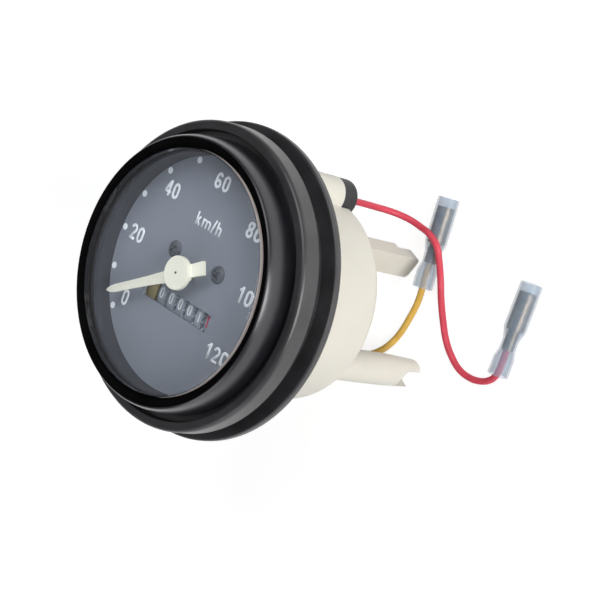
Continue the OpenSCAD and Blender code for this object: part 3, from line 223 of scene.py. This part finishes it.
# %% [markdown]
# Real finishes are never one flat value. Moulded plastic is a little cloudy, rubber carries a
# grey bloom, and metal shows the marks of the lathe. One recipe can make them all: a broad
# noise drifts the colour and the gloss, and a fine noise roughens the surface.

# %% A recipe for finishes


def finish(name, colour, rough, vary=0.08, patch=220.0, grain=3000.0, bump=0.0, **values):
    """A Principled finish whose colour, gloss and surface drift over the piece.

    vary is how far the colour drifts, patch and grain are the scales of the broad and the
    fine noise, and bump is the strength of the fine one.
    """
    mat = bpy.data.materials.new(name)
    mat.use_nodes = True
    nodes, links = mat.node_tree.nodes, mat.node_tree.links
    shader = nodes["Principled BSDF"]
    place = nodes.new("ShaderNodeTexCoord")
    cloud = nodes.new("ShaderNodeTexNoise")
    cloud.inputs["Scale"].default_value = patch
    cloud.inputs["Detail"].default_value = 4
    links.new(place.outputs["Object"], cloud.inputs["Vector"])
    ramp = nodes.new("ShaderNodeValToRGB")
    ramp.color_ramp.elements[0].position = 0.3
    ramp.color_ramp.elements[1].position = 0.7
    ramp.color_ramp.elements[0].color = [c * (1 - vary) for c in colour] + [1]
    ramp.color_ramp.elements[1].color = [min(1, c * (1 + vary)) for c in colour] + [1]
    links.new(cloud.outputs["Fac"], ramp.inputs["Fac"])
    links.new(ramp.outputs["Color"], shader.inputs["Base Color"])
    gloss = nodes.new("ShaderNodeMapRange")
    gloss.inputs["To Min"].default_value = max(0.02, rough * 0.85)
    gloss.inputs["To Max"].default_value = min(1, rough * 1.15)
    links.new(cloud.outputs["Fac"], gloss.inputs["Value"])
    links.new(gloss.outputs["Result"], shader.inputs["Roughness"])
    if bump:
        fine = nodes.new("ShaderNodeTexNoise")
        fine.inputs["Scale"].default_value = grain
        fine.inputs["Detail"].default_value = 2
        links.new(place.outputs["Object"], fine.inputs["Vector"])
        relief = nodes.new("ShaderNodeBump")
        relief.inputs["Strength"].default_value = bump
        relief.inputs["Distance"].default_value = 0.05 * mm
        links.new(fine.outputs["Fac"], relief.inputs["Height"])
        links.new(relief.outputs["Normal"], shader.inputs["Normal"])
    for key, value in values.items():
        shader.inputs[key.replace("_", " ")].default_value = value
    return mat


def dress(mat, *names):
    """Give these CAD nodes a finish."""
    for name in names:
        for slot in nodes_of[name].material_slots:
            slot.material = mat
    print(mat.name, "on", len(names), "parts")


# %% The case, its rims and the rubber
cream_case = finish("cream_case", (0.795, 0.77, 0.685), 0.42, 0.03, 60, 2500, 0.12,
                    Subsurface_Weight=0.25, Subsurface_Scale=2 * mm)
cream_shader = cream_case.node_tree.nodes["Principled BSDF"]
cream_shader.inputs["Subsurface Radius"].default_value = (1, 0.8, 0.5)
dress(cream_case, "housing")
black_enamel = finish("black_enamel", (0.01, 0.0095, 0.012), 0.35, 0.2, 150, 1800, 0.06,
                      Coat_Weight=0.9, Coat_Roughness=0.28, Coat_IOR=1.5,
                      Coat_Tint=(0.96, 0.94, 1, 1))
# The lip is a matte black, made darker than the bezel and given no reflection at all: painted
# shade over its own matte finish.
lip_painted_shade = finish("lip_painted_shade", (0.0045, 0.0045, 0.005), 0.6, 0.2, 150, 1800, 0.1,
                   Specular_IOR_Level=0)
black_rubber = finish("black_rubber", (0.028, 0.027, 0.03), 0.4, 0.3, 130, 2600, 0.25,
                      Coat_Weight=0.65, Coat_Roughness=0.38)
dress(black_rubber, "mounting_ring")
soft_rubber = finish("soft_rubber", (0.025, 0.025, 0.027), 0.5, 0.15, 300, 2600, 0.3)
dress(soft_rubber, "lamp_holder_top", "lamp_holder_rear")
seal_rubber = finish("seal_rubber", (0.018, 0.018, 0.02), 0.7, 0.15, 300, 2600, 0.3,
                     Specular_IOR_Level=0.2)
dress(seal_rubber, "crystal_gasket")

# %% [markdown]
# The bezel is what the eye meets first, so it is turned here with a finer outline than the
# solid has. One ring of edges is pulled along the outline, as a lathe tool would follow it,
# and the last ring is bridged to the first. The flank is a slow curve, so that each height
# mirrors another part of the table.

# %% The turned bezel


def settle(thing, name, mat, body):
    """Put a finished object's place into its mesh and hang it on its body."""
    select_only(thing)
    bpy.ops.object.transform_apply(location=True, rotation=True, scale=True)
    thing.name = thing.data.name = name
    thing.data.materials.clear()
    thing.data.materials.append(mat)
    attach(thing, body)
    return thing


def join(things):
    """Several objects become one."""
    bpy.ops.object.select_all(action="DESELECT")
    for thing in things:
        thing.select_set(True)
    bpy.context.view_layer.objects.active = things[0]
    bpy.ops.object.join()
    return bpy.context.object


def quarter(r, z, across, up, start, end, steps=10):
    """Part of an ellipse in the outline, between two angles in degrees."""
    turns = [math.radians(start + (end - start) * i / steps) for i in range(steps + 1)]
    return [(r + across * math.cos(t), z + up * math.sin(t)) for t in turns]


def turn_round(outline, segments=160):
    """A closed round piece from an outline of radius and height in millimetres."""
    bpy.ops.object.select_all(action="DESELECT")
    bpy.ops.mesh.primitive_circle_add(vertices=segments, radius=outline[0][0] * mm,
                                      location=(0, 0, outline[0][1] * mm))
    ring = bpy.context.object
    to_mesh_edit(ring)
    bpy.ops.mesh.select_mode(type="EDGE")
    bpy.ops.mesh.select_all(action="SELECT")
    for (r0, z0), (r1, z1) in zip(outline, outline[1:]):
        bpy.ops.mesh.extrude_edges_move(TRANSFORM_OT_translate={"value": (0, 0, (z1 - z0) * mm)})
        bpy.ops.transform.resize(value=(r1 / r0, r1 / r0, 1), center_override=(0, 0, z1 * mm))
    bpy.ops.mesh.select_all(action="DESELECT")
    bpy.ops.mesh.select_non_manifold()
    bpy.ops.mesh.bridge_edge_loops()
    bpy.ops.mesh.select_all(action="SELECT")
    bpy.ops.mesh.normals_make_consistent(inside=False)
    bpy.ops.object.mode_set(mode="OBJECT")
    bpy.ops.object.shade_smooth_by_angle(angle=math.radians(35))
    return ring


bezel_low, bezel_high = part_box("bezel")
bezel_r, hook_z, crown_z = bezel_high[0] / mm, bezel_low[2] / mm, bezel_high[2] / mm
lip_r, lip_under, bore_r, hook_r, hook_top = 30.45, 76.6, 33.0, 32.0, 66.8
crown_w, flank_h, hook_round, crown_round = 1.35, 5.9, 0.3, 0.4
lip_round_w, lip_round_h, lip_drop = 0.34, 0.25, 1.3
outline = (
    [(hook_r, hook_z)]
    + quarter(bezel_r - hook_round, hook_z + hook_round, hook_round, hook_round, -90, 0, 4)
    + quarter(bezel_r - crown_w, crown_z - flank_h, crown_w, flank_h, 0, 90, 18)
    + quarter(bezel_r - crown_w, crown_z - crown_round, crown_round, crown_round, 100, 116, 2)
    + quarter(lip_r + lip_round_w, crown_z - lip_drop, lip_round_w, lip_round_h, 112, 180, 5)
    + [(lip_r, lip_under), (bore_r, lip_under), (bore_r, hook_top), (hook_r, hook_top)])
bezel_shell = settle(turn_round(outline), "bezel_shell", black_enamel, "case")
# The lip faces inside the crown take the painted-shade black.
bezel_shell.data.materials.append(lip_painted_shade)
for face in bezel_shell.data.polygons:
    if face.center.xy.length < (bezel_r - crown_w) * mm:
        face.material_index = 1
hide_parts("bezel")
print("bezel", round(2 * bezel_r, 1), "mm across")

# %% The dial and what stands on it
dial_enamel = finish("dial_enamel", (0.208, 0.233, 0.278), 0.55, 0.03, 60, 5000, 0.05)
dress(dial_enamel, "dial_plate")
matt_black = finish("matt_black", (0.03, 0.034, 0.044), 0.7, 0.1, 200, 4000, 0.1)
dress(matt_black, "inner_ring")
screw_black = finish("screw_black", (0.085, 0.095, 0.115), 0.24, 0.2, 500, 4000, 0.0)
dress(screw_black, "dial_screws")

# %% [markdown]
# The pointer is moulded in one piece: a flat hub on a stem, a needle with a ridge along its
# middle, and a short tail that balances it. The solid has the same parts in a plainer form.
# Here the hub is turned, and each bar starts as a box, is cut across at several stations and
# squeezed to its width there, as a file would thin it. Last, its middle line is lifted.

# %% The pointer
# A corner this near a plane, in millimetres, counts as lying on it.
on_plane = 0.01


def pick(bm, test):
    """Select the corners that pass a test."""
    for corner in bm.verts:
        corner.select = test(corner.co / mm)
    bm.select_flush_mode()


def ridged_bar(stations, low, side, ridge):
    """A bar along x with a width at each station, upright sides and a ridge."""
    reach = [x for x, width in stations]
    widest = max(width for x, width in stations)
    bpy.ops.object.select_all(action="DESELECT")
    bpy.ops.mesh.primitive_cube_add(
        size=1, scale=((reach[-1] - reach[0]) * mm, widest * mm, side * mm),
        location=((reach[0] + reach[-1]) / 2 * mm, 0, (low + side / 2) * mm))
    bar = bpy.context.object
    bpy.ops.object.transform_apply(location=True, rotation=True, scale=True)
    to_mesh_edit(bar)
    for x in reach[1:-1]:
        bpy.ops.mesh.select_all(action="SELECT")
        bpy.ops.mesh.bisect(plane_co=(x * mm, 0, 0), plane_no=(1, 0, 0))
    bpy.ops.mesh.select_all(action="SELECT")
    bpy.ops.mesh.bisect(plane_co=(0, 0, 0), plane_no=(0, 1, 0))
    bpy.ops.mesh.select_mode(type="VERT")
    for x, width in stations:
        pick(bmesh.from_edit_mesh(bar.data), lambda co: abs(co.x - x) < on_plane)
        bpy.ops.transform.resize(value=(1, width / widest, 1), center_override=(0, 0, 0))
    pick(bmesh.from_edit_mesh(bar.data),
         lambda co: (abs(co.y) < on_plane and co.z > low + side / 2
                     and co.x < reach[-1] - on_plane))
    bpy.ops.transform.translate(value=(0, 0, (ridge - side) * mm))
    bpy.ops.mesh.select_all(action="SELECT")
    bpy.ops.mesh.normals_make_consistent(inside=False)
    bpy.ops.object.mode_set(mode="OBJECT")
    return bar


pointer_paint = finish("pointer_paint", (0.78, 0.79, 0.68), 0.5, 0.02, 200, 6000, 0.08)
pointer_low, pointer_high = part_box("pointer")
hub_top, stem_low = pointer_high[2] / mm, pointer_low[2] / mm
hub_r, hub_low, stem_r, staff_r, needle_low = 4.2, hub_top - 1.25, 1.7, 0.6, hub_top - 2.1
pin_hole_r, hub_edge, hub_cap, rest_angle = 0.3, 0.1, 0.5, 211.5
hub = turn_round(
    [(pin_hole_r, hub_top), (hub_r - hub_edge, hub_top), (hub_r, hub_top - hub_edge),
     (hub_r, hub_low), (stem_r, hub_low), (stem_r, stem_low), (staff_r, stem_low),
     (staff_r, hub_top - hub_cap), (pin_hole_r, hub_top - hub_cap)], 96)
needle_stations = [(1, 3.3), (5, 3.0), (12, 2.35), (18, 2.1), (23.6, 2.0), (25.2, 1.6),
                   (26.2, 0.95), (26.8, 0.15)]
needle = ridged_bar(needle_stations, needle_low, 0.5, 0.9)
tail = ridged_bar([(-8.2, 3.45), (-1, 3.05)], needle_low, 0.85, 0.85)
pointer_piece = join([hub, needle, tail])
pointer_piece.rotation_euler = (0, 0, math.radians(rest_angle))
settle(pointer_piece, "pointer_piece", pointer_paint, "indicator")
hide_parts("pointer")
print("needle reaches", needle_stations[-1][0], "mm")

# %% The metal and the counter
turned_steel = finish("turned_steel", (0.62, 0.62, 0.63), 0.3, 0.06, 900, 6000, 0.1, Metallic=1)
dress(turned_steel, "pointer_staff", "hairspring", "bridge_screws", "case_screws", "thrust_washer",
      "drive_spindle", "speed_cup", "cross_shaft", "upright_shaft", "counter_axle", "pinion_axle",
      "field_cup")
cast_alloy = finish("cast_alloy", (0.6, 0.61, 0.62), 0.45, 0.08, 500, 3500, 0.3, Metallic=1)
dress(cast_alloy, "movement_frame", "bearing_plate", "lower_pillars", "upper_pillars",
      "counter_bracket_left", "counter_bracket_right")
yellow_plating = finish("yellow_plating", (0.42, 0.37, 0.2), 0.45, 0.15, 500, 4000, 0.1,
                        Metallic=0.4)
dress(yellow_plating, "bridge")
turned_brass = finish("turned_brass", (0.78, 0.58, 0.26), 0.28, 0.08, 700, 6000, 0.1, Metallic=1)
dress(turned_brass, "collet", "hairspring_stud", "spindle_bushing", "pinion_100000",
      "pinion_10000", "pinion_1000", "pinion_100", "pinion_10")
dull_brass = finish("dull_brass", (0.36, 0.26, 0.15), 0.38, 0.25, 600, 5000, 0.1, Metallic=0.85)
dress(dull_brass, "red_terminal", "yellow_terminal")
cast_magnet = finish("cast_magnet", (0.16, 0.16, 0.17), 0.6, 0.2, 700, 3000, 0.5, Metallic=1)
dress(cast_magnet, "magnet")
# The drums' grey is lighter than their own tone: painted light that makes up for the shade of
# their recess under the dial.
drum_grey_painted_light = finish("drum_grey_painted_light", (0.37, 0.42, 0.49), 0.8, 0.06, 300, 4000, 0.05,
                   Specular_IOR_Level=0.15)
dress(drum_grey_painted_light, "drum_100000", "drum_10000", "drum_1000", "drum_100", "drum_10", "drum_tenths")

# %% [markdown]
# Clear parts are the hard ones. A thick solid glass would bend the view and shift the dial,
# and a lamp's rays don't get through it easily. The crystal is a thin pane in real life, so
# here it hardly bends the view and its coat mirrors the room, while a Light Path switch lets
# lamp rays pass straight through. The soft sleeves are cloudy, so they use alpha.

# %% The crystal, the bulbs and the sleeves


def clear(name, colour, rough, ior, **values):
    """Glass that lets lamps through to what is behind it."""
    mat = finish(name, colour, rough, 0.01, 100, 3000, 0.0, **values)
    nodes, links = mat.node_tree.nodes, mat.node_tree.links
    shader = nodes["Principled BSDF"]
    shader.inputs["Transmission Weight"].default_value = 1
    shader.inputs["IOR"].default_value = ior
    path = nodes.new("ShaderNodeLightPath")
    open_air = nodes.new("ShaderNodeBsdfTransparent")
    either = nodes.new("ShaderNodeMixShader")
    links.new(path.outputs["Is Shadow Ray"], either.inputs["Fac"])
    links.new(shader.outputs[0], either.inputs[1])
    links.new(open_air.outputs[0], either.inputs[2])
    links.new(either.outputs[0], nodes["Material Output"].inputs["Surface"])
    return mat


clear_crystal = clear("clear_crystal", (0.97, 0.98, 1.0), 0.02, 1.01, Coat_Weight=1.0,
                      Coat_IOR=1.47, Coat_Roughness=0.02)
dress(clear_crystal, "crystal")
bulb_glass = clear("bulb_glass", (0.97, 0.97, 0.95), 0.03, 1.45)
dress(bulb_glass, "bulb_top", "bulb_rear")
cloudy_sleeve = finish("cloudy_sleeve", (0.34, 0.46, 0.6), 0.25, 0.1, 250, 2500, 0.15, Alpha=0.29)
dress(cloudy_sleeve, "red_sleeve", "yellow_sleeve")
red_jacket = finish("red_jacket", (0.72, 0.06, 0.1), 0.4, 0.08, 400, 3000, 0.1)
yellow_jacket = finish("yellow_jacket", (0.76, 0.47, 0.09), 0.4, 0.08, 400, 3000, 0.1)
red_wire.data.materials.append(red_jacket)
yellow_wire.data.materials.append(yellow_jacket)

# %% [markdown]
# The dial is screen-printed. A picture would carry the print on a real job, but shapes stay
# sharp at any distance, so each mark is a film of ink on the plate. A dot starts as a filled
# circle, is pulled up, and gets a narrower top, as a drop of thick ink has.

# %% The dots
dial_top = 70 * mm
ink = 0.05 * mm
dot_ring = 28.66 * mm
dot_radius, dot_shoulder = 0.85 * mm, 0.12 * mm
dot_count, first_dot, dot_step = 13, 218, 20.8
print_white = finish("print_white", (0.86, 0.91, 0.96), 0.6, 0.03, 900, 7000, 0.1)


def own_copy(thing):
    """A copy with its own mesh."""
    twin = thing.copy()
    twin.data = thing.data.copy()
    bpy.context.scene.collection.objects.link(twin)
    return twin


bpy.ops.object.select_all(action="DESELECT")
bpy.ops.mesh.primitive_circle_add(vertices=32, radius=dot_radius, fill_type="NGON")
dot = bpy.context.object
to_mesh_edit(dot)
bpy.ops.mesh.select_all(action="SELECT")
bpy.ops.mesh.extrude_region_move(TRANSFORM_OT_translate={"value": (0, 0, ink * 0.7)})
bpy.ops.mesh.inset(thickness=dot_shoulder)
bpy.ops.transform.translate(value=(0, 0, ink * 0.3))
bpy.ops.mesh.select_all(action="SELECT")
bpy.ops.mesh.normals_make_consistent(inside=False)
bpy.ops.object.mode_set(mode="OBJECT")
dots = []
for step in range(dot_count):
    angle = math.radians(first_dot - dot_step * step)
    twin = own_copy(dot)
    twin.location = (dot_ring * math.cos(angle), dot_ring * math.sin(angle), dial_top)
    dots.append(twin)
bpy.data.objects.remove(dot)
dial_dots = settle(join(dots), "dial_dots", print_white, "case")
print(len(dial_dots.data.polygons), "faces in the dots")

# %% [markdown]
# The numbers are narrow, heavy figures without feet. A ready font would be quick, but its
# shapes aren't these. So each figure is written with a flat pen, as a sign writer does it: a
# few strokes in a box one unit high, straight ones by their ends and round ones by a formula.
# Where two strokes cross, the later one lies a hair higher, like fresh ink over dry.

# %% The figures as pen strokes
left, middle, right = 0.085, 0.285, 0.485


def bow(cx, cy, rx, ry, start, end):
    """Points along part of an ellipse, between two angles in degrees."""
    steps = max(4, round(abs(end - start) / 15))
    turns = [math.radians(start + (end - start) * i / steps) for i in range(steps + 1)]
    return [(cx + rx * math.cos(t), cy + ry * math.sin(t)) for t in turns]


six = [bow(middle, 0.29, 0.2, 0.205, 0, 360),
       [(left, 0.3)] + bow(middle, 0.64, 0.2, 0.275, 180, 25)]
strokes = {
    "0": [[(right, 0.5)] + bow(middle, 0.68, 0.2, 0.235, 0, 180)
          + bow(middle, 0.32, 0.2, 0.235, 180, 360) + [(right, 0.5)]],
    "1": [[(0.35, 0), (0.35, 1)], [(0.34, 0.87), (0.12, 0.71)]],
    "2": [bow(middle, 0.69, 0.2, 0.225, 172, -30) + [(0.13, 0.15)],
          [(0.03, 0.085), (0.54, 0.085)]],
    "3": [bow(middle, 0.71, 0.18, 0.205, 155, -90), bow(middle, 0.295, 0.2, 0.21, 90, -160)],
    "4": [[(0.4, 0), (0.4, 1)], [(0.37, 0.93), (0.06, 0.31)], [(0, 0.27), (0.56, 0.27)]],
    "5": [[(0.1, 0.915), (0.5, 0.915)], [(0.14, 0.96), (0.11, 0.46)],
          bow(0.27, 0.3, 0.215, 0.22, 130, -155)],
    "6": six,
    "7": [[(0.03, 0.915), (0.54, 0.915)], [(0.48, 0.88), (0.2, 0)]],
    "8": [bow(middle, 0.715, 0.175, 0.2, 0, 360), bow(middle, 0.295, 0.2, 0.21, 0, 360)],
    "9": [[(2 * middle - x, 1 - y) for x, y in line] for line in six],
    "k": [[(left, 0), (left, 1)], [(0.1, 0.26), (0.44, 0.68)], [(0.2, 0.4), (0.48, 0)]],
    "m": [[(left, 0), (left, 0.7)], bow(0.28, 0.47, 0.195, 0.15, 180, 0) + [(0.475, 0)],
          bow(0.67, 0.47, 0.195, 0.15, 180, 0) + [(0.865, 0)]],
    "/": [[(0.04, -0.02), (0.3, 1.02)]],
    "h": [[(left, 0), (left, 1)], bow(0.28, 0.46, 0.195, 0.16, 180, 0) + [(0.475, 0)]]}
wide = {"m": 0.95, "/": 0.34}
plain_wide = 0.57
print("figures and letters:", len(strokes))

# %% The pen


def written(words, height, weight, narrow=1.0, gap=0.13):
    """These words as a film of ink, centred on the origin."""
    nib = bpy.data.curves.new("nib", "CURVE")
    tip = nib.splines.new("POLY")
    tip.points.add(3)
    for point, (x, y) in zip(tip.points, ((-1, -1), (1, -1), (1, 1), (-1, 1))):
        point.co = (x * weight / 2, y * ink / 2, 0, 1)
    tip.use_cyclic_u = True
    nib_holder = bpy.data.objects.new("nib", nib)
    ink_line = bpy.data.curves.new("ink_line", "CURVE")
    ink_line.dimensions = "3D"
    ink_line.twist_mode = "Z_UP"
    ink_line.bevel_mode = "OBJECT"
    ink_line.bevel_object = nib_holder
    ink_line.use_fill_caps = True
    start = 0
    for letter in words:
        for layer, line in enumerate(strokes[letter]):
            closed = math.dist(line[0], line[-1]) < 1e-6
            line = line[:-1] if closed else line
            spline = ink_line.splines.new("POLY")
            spline.points.add(len(line) - 1)
            spline.use_cyclic_u = closed
            for point, (x, y) in zip(spline.points, line):
                point.co = ((start + x) * height * narrow, y * height, layer * ink / 10, 1)
        start += wide.get(letter, plain_wide) + gap
    sign = bpy.data.objects.new("sign", ink_line)
    bpy.context.scene.collection.objects.link(sign)
    select_only(sign)
    bpy.ops.object.convert(target="MESH")
    bpy.data.objects.remove(nib_holder)
    sign = bpy.context.object
    to_mesh_edit(sign)
    bpy.ops.mesh.select_all(action="SELECT")
    bpy.ops.mesh.remove_doubles(threshold=0.001 * mm)
    bpy.ops.mesh.normals_make_consistent(inside=False)
    bpy.ops.object.mode_set(mode="OBJECT")
    width = (start - gap) * height * narrow
    sign.data.transform(Matrix.Translation((-width / 2, -height / 2, 0)))
    return sign


# %% The numbers
number_height = 4.1 * mm
number_weight = 0.76 * mm
unit_height, unit_weight = 3.3 * mm, 0.52 * mm
numbers = {
    "0": (-19.3, -14.1), "20": (-23.6, 1.9), "40": (-17.1, 16.4), "60": (-1.4, 24.1),
    "80": (14.5, 17.2), "100": (20.7, 2.5), "120": (17.5, -13.6)}
figures = []
for words, (x, y) in numbers.items():
    figure = written(words, number_height, number_weight)
    figure.location = (x * mm, y * mm, dial_top + ink / 2)
    figures.append(figure)
unit = written("km/h", unit_height, unit_weight, gap=0.17)
unit.location = (-0.6 * mm, 13.4 * mm, dial_top + ink / 2)
figures.append(unit)
settle(join(figures), "dial_numbers", print_white, "case")
print("number height", round(number_height / mm, 1), "mm")

# %% [markdown]
# Each number drum carries ten figures round its rim, one every 36 degrees. A flat figure would
# sink into the round drum, so it is sliced across and each corner is rolled round the axle by
# its height on the figure. The print rides on its drum, so it turns with it.

# %% The figures on the drums
axle = Vector((0, -8.3 * mm, 61 * mm))
drum_radius = 7 * mm
drum_names = ["drum_100000", "drum_10000", "drum_1000", "drum_100", "drum_10", "drum_tenths"]
shown = [0, 0, 0, 0, 1, 1]
figure_turn = 36
figure_height, figure_weight, figure_narrow = 3.1 * mm, 0.42 * mm, 0.75
slices, slice_step = 4, 0.35
tenths_shift = 0.5 * mm
drum_white = finish("drum_white", (0.92, 0.95, 0.98), 0.6, 0.03, 900, 7000, 0.1)
drum_red = finish("drum_red", (0.8, 0.06, 0.16), 0.6, 0.03, 900, 7000, 0.1)


def drum_middle(name):
    """The middle of a drum along its axle."""
    low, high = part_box(name)
    return (low[0] + high[0]) / 2


mid_x = drum_middle("drum_10")
drum_pitch = mid_x - drum_middle("drum_100")


def drum_figure(digit):
    """One figure, rolled round the drum at the place where it shows."""
    figure = written(str(digit), figure_height, figure_weight, figure_narrow)
    to_mesh_edit(figure)
    for cut in range(-slices, slices + 1):
        bpy.ops.mesh.select_all(action="SELECT")
        bpy.ops.mesh.bisect(plane_co=(0, cut * slice_step * mm, 0), plane_no=(0, 1, 0))
    bpy.ops.object.mode_set(mode="OBJECT")
    for corner in figure.data.vertices:
        turn = corner.co.y / drum_radius
        reach = drum_radius + ink + corner.co.z
        corner.co = (mid_x + corner.co.x, axle.y + reach * math.sin(turn),
                     axle.z + reach * math.cos(turn))
    return figure


digits = [drum_figure(d) for d in range(10)]
home_place = drum_names.index("drum_10")
to_axle = Matrix.Translation(axle)
for place, (name, first) in enumerate(zip(drum_names, shown)):
    shy = tenths_shift if name == "drum_tenths" else 0
    slide = Matrix.Translation(((place - home_place) * drum_pitch - shy, 0, 0))
    prints = []
    for digit in range(10):
        twin = own_copy(digits[digit])
        turn = Matrix.Rotation(math.radians(-figure_turn * (digit - first)), 4, "X")
        twin.matrix_world = slide @ to_axle @ turn @ to_axle.inverted()
        prints.append(twin)
    wheel = "wheel_" + name.split("_")[1]
    ink_colour = drum_red if name == "drum_tenths" else drum_white
    settle(join(prints), name + "_figures", ink_colour, wheel)
for thing in digits:
    bpy.data.objects.remove(thing)
print("figures on", len(drum_names), "drums")

# %% [markdown]
# Two small things finish the front. A cut disc of clear plastic has a ground edge. Here it is an
# open tube, thickened by a Solidify modifier that gives its inner skin and rim a second finish:
# the outer skin is painted pale as a highlight where the edge catches the light, and the inner
# skin and rim are painted near-black as shade. And the staff of the pointer ends in a dark pin in
# the hub.

# %% The ground edge of the crystal
lip_radius = lip_r * mm
lip_edge_z = 77.2 * mm
crystal_high_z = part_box("crystal")[1][2]
edge_sunk, edge_short, edge_gap, skin_t = 0.5 * mm, 0.28 * mm, 0.01 * mm, 0.07 * mm
edge_bottom, edge_top = lip_edge_z - edge_sunk, crystal_high_z - edge_short
bpy.ops.object.select_all(action="DESELECT")
bpy.ops.mesh.primitive_cylinder_add(
    vertices=128, radius=lip_radius - edge_gap, depth=edge_top - edge_bottom,
    end_fill_type="NOTHING", location=(0, 0, (edge_top + edge_bottom) / 2))
band = bpy.context.object
skin = band.modifiers.new("skin", "SOLIDIFY")
skin.thickness = skin_t
skin.offset = -1
skin.material_offset = 1
skin.material_offset_rim = 1
# The pale outer skin is a painted highlight, and the near-black inner skin and rim are painted
# shade.
ground_edge_painted_light = finish("ground_edge_painted_light", (0.62, 0.56, 0.54), 0.45, 0.06, 400, 5000, 0.2)
ground_edge_painted_shade = finish("ground_edge_painted_shade", (0.004, 0.004, 0.005), 0.6, 0.2, 400, 5000, 0.1,
                     Specular_IOR_Level=0)
band.data.materials.append(ground_edge_painted_light)
band.data.materials.append(ground_edge_painted_shade)
bpy.ops.object.modifier_apply(modifier="skin")
skins = [face.material_index for face in band.data.polygons]
crystal_edge = settle(band, "crystal_edge", ground_edge_painted_light, "case")
crystal_edge.data.materials.append(ground_edge_painted_shade)
for face, skin_number in zip(crystal_edge.data.polygons, skins):
    face.material_index = skin_number
bpy.ops.object.shade_smooth_by_angle(angle=math.radians(40))
print("edge shows", round((edge_top - lip_edge_z) / mm, 2), "mm")

# %% The pin in the hub
hub_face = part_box("pointer")[1][2]
pin_radius, pin_depth, pin_bevel = 0.32 * mm, 0.2 * mm, 0.05 * mm
bpy.ops.object.select_all(action="DESELECT")
bpy.ops.mesh.primitive_cylinder_add(vertices=24, radius=pin_radius, depth=pin_depth,
                                    location=(0, 0, hub_face))
pin = bpy.context.object
to_mesh_edit(pin)
bpy.ops.mesh.select_all(action="SELECT")
bpy.ops.mesh.bevel(offset=pin_bevel, segments=2)
bpy.ops.object.mode_set(mode="OBJECT")
settle(pin, "hub_pin", screw_black, "indicator")
print("pin at", round(hub_face / mm, 1), "mm")

# %% [markdown]

# %% Bringing the scene up to date
bpy.context.view_layer.update()
